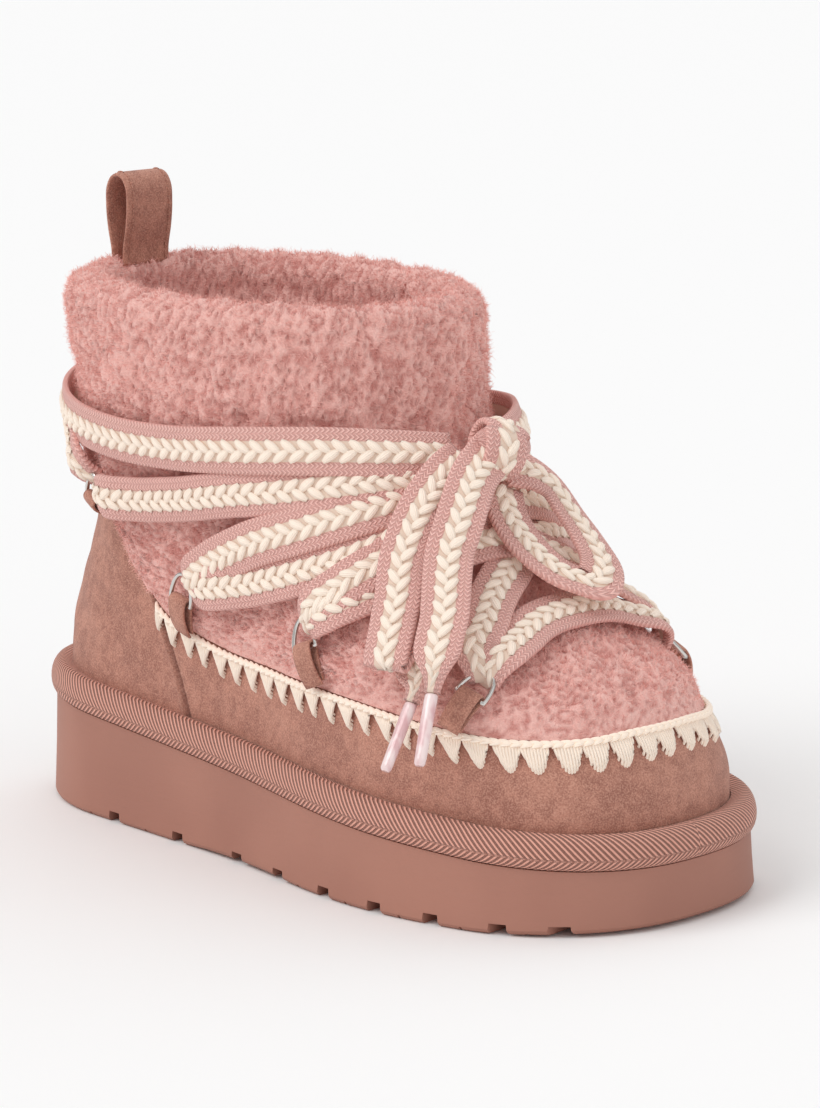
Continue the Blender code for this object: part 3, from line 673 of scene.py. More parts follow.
def fleece_pile(maths, surface, where, uv, look):
    """Fibres: painted shade at their roots and over the crevices, paler tips, broad mottling."""
    broad = maths.noise(where, 60.0, 3.0).step(0.35, 0.65)
    colour = maths.shade().step(0.0, 1.0).blend(opaque(look.fleece_root_shade),
                                                opaque(look.fleece_tip))
    colour = (broad * 0.35).blend(colour, tint(250, 196, 186))
    finish(maths, surface, colour, 0.9, Sheen_Weight=0.2, Sheen_Roughness=0.5,
           Emission_Color=WOOL_GLOW, Emission_Strength=0.05)


def lace(maths, surface, where, uv, look):
    """Woven borders in a small herringbone either side of a cream middle. The UV is across and
    along the lace in millimetres."""
    across = uv.part(0).abs()
    along = uv.part(1)
    border = across.step(3.1, 3.5)
    column = (across - 3.4) / 2.1
    slant = (column.fract() - 0.5).abs() * 2.0
    stitch = ((along / 1.5 + slant * 0.75).fract() - 0.5).abs() * 2.0
    edge = (column.fract() - 0.5).abs().step(0.36, 0.5)
    weave = stitch.step(0.12, 0.75) * (1.0 - edge * 0.6)
    # Painted shade: the pink is darker in the gaps between the stitches and between the columns
    pink = (weave * 0.8 + 0.1).blend(tint(224, 162, 152), opaque(look.lace_pink))
    colour = border.blend(tint(232, 208, 190), pink)
    finish(maths, surface, colour, 0.85, weave * border, 0.00045,
           Sheen_Weight=0.15, Sheen_Roughness=0.5)


def yarn(maths, surface, where, uv, look):
    """Soft cream yarn with fine strands along it, and a painted glow that brightens it."""
    strand = (uv.part(0).wave(0.25) * 0.5 + 0.5) * 0.6 + maths.noise(where, 2600.0) * 0.4
    colour = strand.step(0.0, 1.0).blend(tint(250, 232, 214), opaque(look.cream))
    # Painted light: the emission is a faint cream glow that brightens the yarn
    finish(maths, surface, colour, 0.8, strand, 0.0002, Sheen_Weight=0.2, Sheen_Roughness=0.5,
           Emission_Color=tint(255, 226, 208), Emission_Strength=0.09)


def twill(maths, surface, where, uv, look):
    """Diagonal ribs that turn back below the middle. The UV is along and up in millimetres."""
    turn = (uv.part(1) - 5.0).abs()
    rib = (((uv.part(0) + turn * 1.25) / 2.0).fract() - 0.5).abs() * 2.0
    rib = rib.step(0.10, 0.70)
    fold = turn.step(0.0, 0.35)
    grain = maths.noise(where, 1500.0)
    # Painted shade: darker in the grooves between the ribs; the grain part is the tape's own tone
    colour = (rib * 0.8 + grain * 0.2).blend(tint(136, 84, 70), opaque(look.welt_colour))
    finish(maths, surface, colour, 0.75, rib * fold + grain * 0.1, 0.0007,
           Sheen_Weight=0.1, Sheen_Roughness=0.5)


def foam(maths, surface, where, uv, look):
    """Moulded foam: smooth, matte, with faint level ripples."""
    ripple = maths.noise(maths.stretched(where, (60.0, 60.0, 420.0)), 1.0, 2.0)
    tone = maths.noise(where, 18.0, 2.0).step(0.3, 0.7)
    colour = tone.blend(tint(164, 112, 96), opaque(look.sole_colour))
    finish(maths, surface, colour, 0.62, ripple * 0.7 + maths.noise(where, 900.0) * 0.3,
           0.00018)


def nickel(maths, surface, where, uv, look):
    """Polished nickel with fine wear."""
    wear = maths.noise(where, 260.0, 3.0)
    finish(maths, surface, tint(214, 211, 207), wear * 0.14 + 0.10, Metallic=1.0)


def film(maths, surface, where, uv, look):
    """Clear tipping film over pink yarn."""
    streak = maths.noise(maths.stretched(where, (300.0, 300.0, 60.0)), 1.0, 2.0)
    colour = streak.step(0.35, 0.65).blend(tint(222, 176, 178), tint(244, 222, 220))
    finish(maths, surface, colour, 0.22, streak, 0.0001, Coat_Weight=0.8, Coat_Roughness=0.1)


def lining(maths, surface, where, uv, look):
    """Short pile inside the boot."""
    curl = maths.cells(where, 330.0)
    # Painted shade: darker towards the edge of each curl's cell, where the bump sinks between
    # curls
    colour = curl.step(0.05, 0.8).blend(tint(244, 186, 176), tint(206, 140, 130))
    finish(maths, surface, colour, 1.0, 1.0 - curl, 0.0008,
           Sheen_Weight=0.2, Sheen_Roughness=0.6)


LOOKS = {"suede": suede, "fleece": fleece_skin, "pile": fleece_pile, "lace": lace,
         "yarn": yarn, "welt_tape": twill, "sole_foam": foam, "nickel": nickel,
         "aglet": film, "insole": lining}


def material(slot):
    """The procedural material of a look, made once."""
    name = f"boot_{slot}"
    if name in bpy.data.materials:
        return bpy.data.materials[name]
    made = bpy.data.materials.new(name)
    made.use_nodes = True
    tree = made.node_tree
    surface = tree.nodes["Principled BSDF"]
    maths = Shade(tree, None)
    place = maths.node("ShaderNodeTexCoord", output=3)
    uv = maths.node("ShaderNodeUVMap")
    LOOKS[slot](maths, surface, place, uv, bpy.context.scene.boot_looks)
    return made


# Lace
def section(width, thickness, count=18):
    """Closed section of the flat lace, as places across and through it: a rounded flat bar
    (|a/w|^4 + |h/t|^4 = 1)."""
    angle = turns(count)
    across = np.sign(np.cos(angle)) * np.abs(np.cos(angle)) ** 0.5
    through = np.sign(np.sin(angle)) * np.abs(np.sin(angle)) ** 0.5
    return across * width / 2, through * thickness / 2


def strap_frame(points, normals):
    """Unit vectors along, across and out of a strap that follows points, facing normals."""
    along = unit(np.gradient(points, axis=0))
    across = np.cross(normals, along)
    # A fold keeps its side: where the strap turns back, the face turns over instead
    turned = np.sign(np.sum(across[1:] * across[:-1], 1))
    across[1:] *= np.cumprod(np.where(turned < 0, -1.0, 1.0))[:, None]
    near = np.pad(across, ((4, 4), (0, 0)), mode="edge")
    across = sum(near[k:k + len(points)] for k in range(9))
    across = unit(across - along * np.sum(across * along, 1, keepdims=True))
    return along, across, np.cross(along, across)


def strap(name, slot, points, normals, width, thickness, taper=None, count=18):
    """A flat strap swept along points: point + a·across + h·out for each (a, h) of the
    section, with the UV across and along in millimetres."""
    along, across, out = strap_frame(points, normals)
    size = np.ones(len(points)) if taper is None else taper
    a, h = section(width, thickness, count)
    thick = 1 + 0.5 * (1 - size)
    rows = (points[:, None] + (size[:, None] * a[None])[..., None] * across[:, None]
            + (thick[:, None] * h[None])[..., None] * out[:, None])
    place = walked(points)
    a = np.append(a, a[0]) / MM
    uv = np.stack([np.broadcast_to(a, (len(points), count + 1)),
                   np.broadcast_to(place[:, None] / MM, (len(points), count + 1))], -1)
    return grid_mesh(name, slot, rows, caps=True, uv=uv)


def braid(name, points, normals, taper, faces=(1,)):
    """Plaited middle of the lace: plump lobes from each border in past the middle line, one
    every pitch, alternating sides. Along a lobe, s = s0 + pitch·t and a = ±(start − reach·t)."""
    place = walked(points)
    _, across, out = strap_frame(points, normals)
    t = np.linspace(0, 1, 6)
    lump = np.sin(math.pi * np.clip(t * 0.86 + 0.10, 0, 1)) ** 0.6
    ring = turns(7)
    parts = []
    for face in faces:
        for side in (-1, 1):
            first = PLAIT_LEAD + (PLAIT_PITCH / 2 if side > 0 else 0)
            for s0 in np.arange(first, place[-1] - PLAIT_TAIL, PLAIT_PITCH):
                s = s0 + PLAIT_PITCH * t
                width = np.interp(s, place, taper)
                a = side * (PLAIT_START - PLAIT_REACH * t) * width
                height = face * (PLAIT_LIFT + PLAIT_SWELL * np.sin(math.pi * (0.12 + 0.75 * t)))
                spot = [np.stack([np.interp(s, place, v[:, c]) for c in range(3)], -1)
                        for v in (points, across, out)]
                middle = spot[0] + a[:, None] * spot[1] + height[:, None] * spot[2]
                flat = np.cross(spot[2], unit(np.gradient(middle, axis=0)))
                wide = (PLAIT_HALF * lump * width)[:, None, None]
                tall = (PLAIT_THICK * lump)[:, None, None]
                parts.append(middle[:, None] + wide * np.cos(ring)[None, :, None] * flat[:, None]
                             + tall * np.sin(ring)[None, :, None] * spot[2][:, None])
    rows = np.array(parts)
    u = np.arange(len(ring) + 1)[None] * 0.45
    uv = np.stack(np.broadcast_arrays(u, t[:, None] * PLAIT_PITCH / MM), -1)
    return many(name, "yarn", rows, uv)


def many(name, slot, grids, uv=None, wrap=True, shade=None):
    """Many equal grids of points as one mesh, each wrapped round its second axis."""
    grids = np.asarray(grids, dtype=float)
    pieces, count, width = grids.shape[:3]
    i = np.arange(count - 1)[:, None]
    k = np.arange(width if wrap else width - 1)[None]
    index = np.stack([(i + di) * width + (k + dk) % width for di, dk in CORNERS], -1)
    index = index.reshape(-1)
    loops = (index[None] + (np.arange(pieces) * count * width)[:, None]).reshape(-1)
    if uv is not None:
        place = np.stack([uv[i + di, k + dk] for di, dk in CORNERS], 2).reshape(-1, 2)
        uv = np.tile(place, (pieces, 1))
    return mesh_piece(name, slot, grids.reshape(-1, 3), loops, np.arange(len(loops) // 4) * 4,
                      uv, shade)


def lace_keys():
    """Every run of the laced part: its name, keys and which ends go through a ring."""
    runs = [("bar", TOE_BAR, (0, 0))]
    for number, keys in enumerate(CROSSINGS):
        ends = (number, number + 1)
        runs.append((f"under_{number + 1}", keys, ends))
        runs.append((f"over_{number + 1}", lifted(mirrored(keys), 0.0, 0.2), ends))
    runs.append(("wrap_under", WRAP, (3, None)))
    runs.append(("wrap_over", lifted(mirrored(WRAP), 1.0, 0.18), (3, None)))
    return runs


def tucked(keys, ends):
    """A run carried over the bow of the D-ring at each end and down through it."""
    keys = [list(key) for key in keys]
    for first, ring in ((True, ends[0]), (False, ends[1])):
        if ring is None:
            continue
        turn, level, lift = keys[0] if first else keys[-1]
        side = 1 if turn > 0 else -1
        goal = (side * RINGS[ring][0], RINGS[ring][1])
        more = [[turn + share * (goal[0] - turn), level + share * (goal[1] - level), raised]
                for share, raised in ((0.05, 0.7), (0.42, 0.1), (0.80, -1.4))]
        keys = more[::-1] + keys[1:] if first else keys[:-1] + more
    return keys


def make_lacing():
    """The flat lace over the vamp and round the ankle, run through the D-rings."""
    straps = []
    braids = []
    for name, keys, ends in lace_keys():
        keys = tucked(keys, ends)
        if name == "bar":
            keys = [(turn, level, lift - 0.45) for turn, level, lift in keys]
        rough, _ = route(keys, 60, LACE_LIFT)
        length = walked(rough)[-1]
        count = int(length / 0.0016)
        points, normals = route(keys, count, LACE_LIFT)
        taper = end_taper(count, (ends[0] is not None, ends[1] is not None),
                          0.014 / length, 0.55)
        straps.append(strap(f"run_{name}", "lace", points, normals, LACE_WIDTH,
                            LACE_THICKNESS, taper))
        braids.append(braid(f"plait_{name}", points, normals, taper))
    dress(merge("lacing_straps", straps), "lace", "lacing")
    dress(merge("lacing_plait", braids), "lace")


def make_bow():
    """Knot, two loops and two hanging ends with their aglets: the free part of the lace."""
    knot = make_knot()
    for node, keys, name, ends in BOW:
        keys = [(turn, level, lift - dip) for (turn, level, lift), dip
                in zip(keys, BOW_DIPS + (0.0,) * len(keys))]
        rough, _ = route(keys, 60, LACE_LIFT)
        count = int(walked(rough)[-1] / 0.0012)
        points, normals = route(keys, count, LACE_LIFT)
        taper = end_taper(count, ends, 0.16, 0.3)
        flat = dress(strap(name, "lace", points, normals, LACE_WIDTH, LACE_THICKNESS, taper),
                     "lace", node)
        plait = dress(braid(f"{name}_plait", points, normals, taper, (1, -1)), "lace")
        extras = [plait]
        if ends[1]:
            way = unit(points[-1] - points[-2])
            tip = aglet(name.replace("end", "tip"), points[-1] + way * GAP, way, normals[-1])
            extras.append(dress(tip, "aglet", node.replace("lace_end", "aglet")))
        elif name == "loop_lateral":
            extras += knot
        tuple(points[0] + SHIFT)
        [tuple(p + SHIFT) for p in points]


def make_knot():
    """Knot of the bow: one turn of the lace pulled round over a tight core."""
    middle = (KNOT[0], KNOT[1] - KNOT_DROP, KNOT[2] + KNOT_RAISE)
    centre, normal = route((middle, (KNOT[0], KNOT[1] - 0.02, KNOT[2])), 2, LACE_LIFT)
    centre, normal = centre[0], normal[0]
    side = np.array([0.0, 1.0, 0.0])
    down = np.cross(side, normal)
    lean = math.radians(KNOT_LEAN)
    axis = math.cos(lean) * side + math.sin(lean) * down
    low = math.cos(lean) * down - math.sin(lean) * side
    angle = np.linspace(-0.3, 2 * math.pi - 0.2, 46)
    ring = (centre + np.sin(angle)[:, None] * 0.53 * KNOT_SIZE * low
            + np.cos(angle)[:, None] * 0.45 * KNOT_SIZE * normal
            + (angle / 7 - 0.45)[:, None] * 0.002 * axis)
    out = (np.sin(angle)[:, None] * low + np.cos(angle)[:, None] * normal)
    taper = np.full(len(angle), 0.90) + 0.10 * np.cos(angle)
    band = dress(strap("knot_band", "lace", ring, out, LACE_WIDTH, LACE_THICKNESS, taper),
                 "lace", "bow_knot")
    plait = dress(braid("knot_plait", ring, out, taper), "lace")
    half, wide, deep = KNOT_CORE
    high = np.linspace(-1, 1, 13)
    spin = turns(20)[:, None]
    rows = []
    for height in high:
        reach = math.sqrt(max(1 - height * height, 0.001))
        rows.append(centre + height * half * axis
                    + reach * (np.cos(spin) * wide * low + np.sin(spin) * deep * normal))
    place = np.stack(np.broadcast_arrays((high * KNOT_WEAVE[0])[:, None],
                                         np.linspace(0, KNOT_WEAVE[1], 21)[None]), -1)
    core = dress(grid_mesh("knot_core", "lace", rows, caps=True, uv=place), "lace")
    return [band, plait, core]


def aglet(name, start, way, normal):
    """Sheath round the tip of the lace."""
    across = np.cross(way, normal)
    face = np.cross(across, way)
    angle = turns(16)[::-1]
    rows = []
    for share, size in ((0.0, 0.80), (0.02, 0.98), (0.10, 1.0), (0.5, 0.96), (0.9, 0.90),
                        (0.97, 0.84), (1.0, 0.60)):
        rows.append(start + share * AGLET_LENGTH * way + size * AGLET_WIDTH / 2
                    * (np.cos(angle)[:, None] * across + 0.75 * np.sin(angle)[:, None] * face))
    return grid_mesh(name, "aglet", rows, caps=True, sharp=50)


def make_suede():
    """Suede foot and shaft wall, with the heel counter laid over it behind its seam."""
    fine = np.arange(0.585, 0.715, 0.0016)
    turn = np.unique(np.concatenate([np.linspace(0, 1, 150), fine]))
    angle = np.concatenate([turn, -turn[-2:0:-1]]) * math.pi
    levels = np.concatenate([np.linspace(0, 0.68, 60), np.linspace(0.7, 1, 10)])[:, None]
    seam = smooth(levels, COUNTER_SEAM, 1)
    away = (np.abs(angle) / math.pi - seam) * 0.36
    low = 1 - ramp(levels, 0.62, 0.72)
    step = COUNTER_STEP * ramp(away, 0.0, 0.0009)
    ridge = 0.0006 * np.exp(-((away - 0.0010) / 0.0008) ** 2)
    ditch = -0.0008 * np.exp(-((away + 0.0004) / 0.0006) ** 2)
    swell = 0.0003 * pile(upper(levels, angle[None]) * 0.6)
    lift = (step + ridge + ditch) * low + swell * ramp(levels, 0.05, 0.15)
    rows = upper(levels, angle[None], lift)
    # The "shade" numbers paint shade into the ditch at the foot of the heel counter's edge
    outside = grid_mesh("suede_shell", "suede", rows,
                        shade=0.8 * np.exp(-((away + 0.0003) / 0.0007) ** 2) * low)
    inner = np.linspace(0, 1, 24)[::-1, None]
    around = turns(120)[None]
    inside = upper(inner, around, -WALL)
    inside[0, :, 2] = upper(1.0, around[0])[:, 2]
    inside[-1, :, 2] = platform(inside[-1, :, 0]) + GAP
    lining_piece = grid_mesh("lining", "insole", inside)
    dress(outside, "suede", "upper")
    dress(lining_piece, "insole")


def make_footbed():
    """Pile footbed inside."""
    ring = upper(0.0, turns(120), -WALL - GAP)
    middle = ring.copy()
    middle[:, 1] = 0.0
    rows = []
    for share in np.linspace(0, 1, 12):
        row = ring + (middle - ring) * share
        row[:, 2] = platform(row[:, 0]) + INSOLE_THICKNESS - 0.0015 * (1 - share) ** 6
        rows.append(row)
    low = ring.copy()
    low[:, 2] = platform(low[:, 0]) + GAP
    dress(grid_mesh("footbed", "insole", [low] + rows), "insole", "insole")


def fleece_rows(angle, outer, depth):
    """Rows of the pile's face from its lower edge up, over the collar and down inside, and the
    height of pile at each, as a share."""
    edge = climb(fleece_edge(angle), angle, EDGING_WIDTH / 2 + GAP)
    rows = []
    full = []
    for share in np.linspace(0, 1, outer):
        level = edge + (1 - edge) * share
        grown = 0.25 + 0.75 * ramp(share, 0, 0.09)
        thick = FLEECE_THICKNESS * grown + (COLLAR_ROLL - FLEECE_THICKNESS) * ramp(share, 0.6, 1)
        row = upper(level, angle, GAP + thick)
        lump = PILE_LUMP * pile(row) * grown
        rows.append(upper(level, angle, GAP + thick * depth + lump))
        full.append(np.full(len(angle), grown))
    crest = upper(1.0, angle, -WALL / 2)
    reach = WALL / 2 + GAP + COLLAR_ROLL * depth
    outward = upper(1.0, angle, 0.01) - upper(1.0, angle)
    outward[:, 2] = 0
    outward = unit(outward)
    up = np.array([0.0, 0.0, 1.0])
    for turn in np.linspace(0, math.pi, 16)[1:-1]:
        row = crest + reach * (math.cos(turn) * outward + math.sin(turn) * up)
        rows.append(row + PILE_LUMP * pile(row)[:, None] * up)
        full.append(np.ones(len(angle)))
    deep = climb(np.ones_like(angle), angle, -CUFF_DEPTH)
    for share in np.linspace(0, 1, 22):
        level = 1 + (deep - 1) * share
        thick = COLLAR_ROLL * (1 - 0.5 * share) * depth
        row = upper(level, angle, -WALL - GAP - thick)
        rows.append(upper(level, angle, -WALL - GAP - thick + PILE_LUMP * pile(row)))
        full.append(np.full(len(angle), 1 - 0.4 * share))
    return np.array(rows), np.array(full)


def make_fleece(look):
    """Sheared curly pile over the vamp, shaft and collar: a lumpy skin and its fine fibres."""
    rng = np.random.default_rng(7)
    rows, full = fleece_rows(turns(420), 112, look.pile_base)
    out = grid_normals(rows)
    seeds = scatter(rng, rows, int(grid_areas(rows).sum() / look.curl_size ** 2), rows)
    tree = KDTree(len(seeds))
    for n, spot in enumerate(seeds):
        tree.insert(Vector(spot), n)
    tree.balance()
    tone = rng.uniform(-0.04, 0.04, len(seeds))
    found = [tree.find_n(Vector(spot), 2) for spot in rows.reshape(-1, 3)]
    apart = np.array([far[2] - near[2] for near, far in found]).reshape(full.shape)
    own = tone[[near[1] for near, _ in found]].reshape(full.shape)
    crown = ramp(apart, 0.0, 0.24 * look.curl_size)
    rows = rows + ((crown - 0.8 + own * 5) * look.lump * full)[..., None] * out
    # Painted shade: the skin and the fibres' roots darken where crown is low, in the crevices
    # between curls; own adds each curl's own tone
    shade = np.clip(crown * 0.62 + 0.08 + own, 0, 1)
    dress(grid_mesh("fleece_skin", "fleece", rows, shade=shade), "fleece", "fleece")
    out = grid_normals(rows)
    make_pile(rng, rows, out, full, shade, look)


def grid_normals(rows):
    """Unit normals of a grid that wraps round its second axis."""
    round_about = np.roll(rows, -1, 1) - np.roll(rows, 1, 1)
    return unit(np.cross(round_about, np.gradient(rows, axis=0)))


def grid_areas(rows):
    """Areas of the cells of a grid that wraps round its second axis."""
    a = rows[:-1]
    return np.linalg.norm(np.cross(np.roll(rows, -1, 1)[:-1] - a, rows[1:] - a), axis=-1)


def scatter(rng, rows, total, *fields):
    """Values of the fields at places spread evenly by area over the grid."""
    area = grid_areas(rows)
    cell = rng.choice(area.size, total, p=area.ravel() / area.sum())
    i, k = np.divmod(cell, rows.shape[1])
    u, v = rng.random((2, total))
    found = []
    for field in fields:
        p, q = (u, v) if field.ndim == 2 else (u[:, None], v[:, None])
        a = field[i, k]
        found.append(a + p * (np.roll(field, -1, 1)[i, k] - a) + q * (field[i + 1, k] - a))
    return found[0] if len(found) == 1 else found


def make_pile(rng, rows, out, full, shade, look):
    """Fine fibres on the skin's lumps. A fibre leans at random and bends as it rises:
    root + high·(t·n + (lean·t + bend·t²)·e)."""
    total = 3 * FIBRES
    root, out, grown, tone = scatter(rng, rows, total, rows, out, full, shade)
    out = unit(out)
    way = unit(np.cross(out, rng.normal(size=(total, 3))))
    across = unit(np.cross(out, rng.normal(size=(total, 3))))
    high = look.pile_height * grown * rng.uniform(0.55, 1.15, total)
    lean = rng.uniform(-0.3, 0.5, (total, 1))
    bend = rng.uniform(0.2, 1.1, (total, 1))
    t = np.array([[-0.1, 0.5, 1.0]])
    rise = high[:, None] * (t - 0.22 * t * t)
    drift = high[:, None] * (lean * t + bend * t * t)
    line = root[:, None] + rise[..., None] * out[:, None] + drift[..., None] * way[:, None]
    wide = (look.fibre_width / 2 * (1 - 0.6 * t))[..., None] * across[:, None]
    strips = np.stack([line - wide, line + wide], 2)
    # Painted shade: fibres darken towards their roots, and through tone over the skin's crevices;
    # the random part is each fibre's own tone
    tip = np.clip(0.55 * tone[:, None] + 0.5 * t + rng.uniform(-0.15, 0.15, (total, 1)), 0, 1)
    tint_at = np.repeat(tip[..., None], 2, 2)
    for part in range(3):
        some = slice(part * FIBRES, (part + 1) * FIBRES)
        dress(many(f"fleece_curls_{part + 1}", "pile", strips[some], wrap=False,
                   shade=tint_at[some]), "fleece")


def edge_table():
    """Length along the fleece's lower edge, from the toe, against angle."""
    angle = np.linspace(0, EDGING_SPAN * math.pi, 900)
    points = upper(fleece_edge(angle), angle, 0.001)
    return walked(points), angle


def seam_points(s, down, lift):
    """Points a length s along the edge (lateral negative) and a distance down from it."""
    length, angles = edge_table()
    angle = np.sign(s) * np.interp(np.abs(s), length, angles)
    return upper(climb(fleece_edge(angle), angle, -down), angle, lift)


def tube(points, radius, sides=6):
    """Rings round lines of points, one line after another: points[n, i] to rings[n, i, k]."""
    along = unit(np.gradient(points, axis=1))
    e1 = unit(np.cross(along, np.array([0.12, 0.3, 0.95])))
    e2 = np.cross(along, e1)
    spin = turns(sides)[None, None, :, None]
    radius = np.broadcast_to(radius, points.shape[:2])[..., None, None]
    return (points[:, :, None] + radius * (np.cos(spin) * e1[:, :, None]
                                           + np.sin(spin) * e2[:, :, None]))


def make_stitching():
    """Whipstitch petals below the fleece, and the crocheted chain along its edge. A petal's
    threads fan in to its foot at the sides, and hang side by side round the toe."""
    reach = edge_table()[0][-1]
    half = int(reach / PETAL_PITCH)
    lines = []
    radii = []
    t = np.linspace(0, 1, 7)
    for n, s0 in enumerate(np.arange(-half, half + 1) * PETAL_PITCH):
        toe = 1 - ramp(abs(s0), 0.03, 0.09)
        sway = 0.0004 * math.sin(3.7 * n)
        for j in np.linspace(-1, 1, PETAL_THREADS):
            top = PETAL_HALF * j
            foot = (PETAL_FOOT + PETAL_TOE_FOOT * toe) * j
            deep = PETAL_DEPTH * ((1 - toe) * (1 - 0.35 * j * j)
                                  + toe * math.sqrt(1 - 0.82 * j * j))
            s = s0 + top + (foot - top) * t ** (1.1 + 1.4 * toe) + sway
            down = PETAL_TOP + (deep - PETAL_TOP) * t
            bulge = np.sin(math.pi * np.clip(0.25 + 0.8 * t, 0, 1)) * (1 - 0.4 * j * j)
            lift = 0.0009 + 0.0009 * bulge - 0.0016 * ramp(t, 0.86, 1.0)
            lines.append(seam_points(s, down, lift))
            radii.append(THREAD_RADIUS * (1 - (0.35 - 0.25 * toe) * t))
    rings = tube(np.array(lines), np.array(radii))
    place = np.stack(np.broadcast_arrays(np.arange(7)[None] * 0.25, t[:, None] * 8), -1)
    dress(many("whipstitch", "yarn", rings, place), "edging")
    chain = []
    for s0 in np.arange(-reach, reach, CHAIN_PITCH):
        for side in (-1, 1):
            s = s0 + t * CHAIN_LINK
            down = side * (0.0009 - 0.0011 * t)
            chain.append(seam_points(s, down - 0.0003, 0.0016 + 0.0008 * np.sin(math.pi * t)))
    swell = CHAIN_RADIUS * np.sin(math.pi * (0.12 + 0.76 * t)) ** 0.7
    rings = tube(np.array(chain), np.broadcast_to(swell, (len(chain), len(t))))
    dress(many("edge_chain", "yarn", rings, place * 0.5), "edging", "edging")


def make_sole():
    """Moulded platform: broken edge, toe spring, arch, cross grooves and small nicks."""
    angle = turns(260)

    def floor(x):
        station = x / HALF
        return (TOE_SPRING * ramp(station, 0.62, 1.0) + HEEL_BEVEL * ramp(-station, 0.82, 1.0)
                + ARCH_RISE * ramp(station, -0.35, -0.15) * (1 - ramp(station, 0.02, 0.22)))

    rows = []
    profile = ((EDGE_BREAK, 0.0, 0.0), (0.35 * EDGE_BREAK, 0.4 * EDGE_BREAK, 0.0),
               (0.0, EDGE_BREAK, 0.0), (0.3 * SIDE_FLARE, EDGE_BREAK, 0.25),
               (0.6 * SIDE_FLARE, EDGE_BREAK, 0.5), (SIDE_FLARE, 0.0, 1.0))
    for inset, rise, share in profile:
        ring = sole_outline(angle, inset)
        low = floor(ring[:, 0]) + rise
        rows.append(np.column_stack([ring, low + share * (platform(ring[:, 0]) - low)]))
    sole = grid_mesh("platform", "sole_foam", rows, caps="ladder")
    sole.data.validate()
    groove = trapezoid(GROOVE_MOUTH, GROOVE_FLOOR, GROOVE_DEPTH, GROOVE_DEPTH)
    nick = trapezoid(NICK_HALF, NICK_HALF * 0.7, NICK_PROUD, NICK_DEPTH)
    cutters = []
    for station, shape in [(x, groove) for x in GROOVES] + [(x, nick) for x in NICKS]:
        rows = []
        for y in np.linspace(-1.2 * BALL_HALF, 1.2 * BALL_HALF, 13):
            sweep = GROOVE_SWEEP * (abs(y) / BALL_HALF)
            rows.append([(station * HALF + sweep + u, y, z) for u, z in shape])
        cutter = grid_mesh(f"cutter_{len(cutters)}", "sole_foam", np.array(rows)[:, ::-1],
                           caps=True)
        cutters.append(cutter)
        cut = sole.modifiers.new(cutter.name, "BOOLEAN")
        cut.operation = "DIFFERENCE"
        cut.solver = "EXACT"
        cut.object = cutter
    solid = bpy.data.meshes.new_from_object(
        sole.evaluated_get(bpy.context.evaluated_depsgraph_get()))
    sole.modifiers.clear()
    sole.data = solid
    solid.shade_smooth()
    solid.set_sharp_from_angle(angle=math.radians(32))
    for cutter in cutters:
        bpy.data.objects.remove(cutter, do_unlink=True)
    dress(sole, "sole_foam", "outsole")


def trapezoid(mouth, floor, low, high):
    """Section of a groove's cutter, from below the floor up into the sole."""
    return (-mouth, -low), (mouth, -low), (floor, high), (-floor, high)


def make_welt():
    """Twill-covered rand round the top of the platform."""
    angle = turns(420)
    outer = SIDE_FLARE - WELT_PROUD
    spin = np.linspace(-0.5, 0.5, 13) * math.pi
    rows = []
    high = []
    for s in spin:
        belly = np.abs(np.cos(s)) ** 0.55
        share = 0.5 + 0.5 * np.sin(s)
        inset = outer + 0.0030 * (1 - belly) + 0.0016 * share ** 3
        ring = sole_outline(angle, inset)
        rows.append(np.column_stack([ring, platform(ring[:, 0]) + GAP + share * WELT_HEIGHT]))
        high.append((s / math.pi + 0.5) * 13.0)
    snug = upper(0.09, angle, 0.0004)
    snug[:, 2] = platform(snug[:, 0]) + GAP + WELT_HEIGHT * 0.9
    rows.append(snug)
    high.append(15.0)
    rows = np.array(rows)
    ring = rows[6]
    step = np.linalg.norm(np.roll(ring, -1, 0) - ring, axis=1)
    along = np.concatenate([[0], np.cumsum(step)]) / MM
    uv = np.stack(np.broadcast_arrays(along[None], np.array(high)[:, None]), -1)
    dress(grid_mesh("welt_band", "welt_tape", rows, uv=uv), "welt_tape", "welt")


def make_rings():
    """D-rings of round wire in suede tabs, four on each side."""
    for side, sign in (("lateral", -1), ("medial", 1)):
        for number, (turn, level, tab_turn, tab_level, sink) in enumerate(RINGS, 1):
            here, way, normal = seat(sign * turn, level, sign * tab_turn, tab_level, sink)
            dress(d_ring(f"d_ring_{side}_{number}", here, way, normal), "nickel",
                  f"ring_{side}_{number}")
            dress(ring_tab(f"ring_tab_{side}_{number}", here, way, normal), "suede",
                  f"tab_{side}_{number}")


def d_ring(name, here, way, normal):
    """A straight bar and a bow of round wire."""
    across = np.cross(normal, way)
    bar = RING_WIDTH / 2 - RING_WIRE
    angle = np.linspace(0, math.pi, 30)
    bow = [(-bar * math.cos(a), -(RING_DEPTH - RING_WIRE) * math.sin(a) ** 0.92) for a in angle]
    base = [(u, 0.0) for u in np.linspace(bar, -bar, 12)[1:-1]]
    middle = np.array([here + u * across + w * way + RING_WIRE / 2 * normal
                       for u, w in bow + base])
    along = unit(np.roll(middle, -1, 0) - np.roll(middle, 1, 0))
    out = np.cross(along, normal)
    spin = turns(12)[None, :, None]
    rows = middle[:, None] + RING_WIRE / 2 * (np.cos(spin) * out[:, None]
                                              + np.sin(spin) * normal)
    return grid_mesh(name, "nickel", rows[:, ::-1], wrap=(True, True))


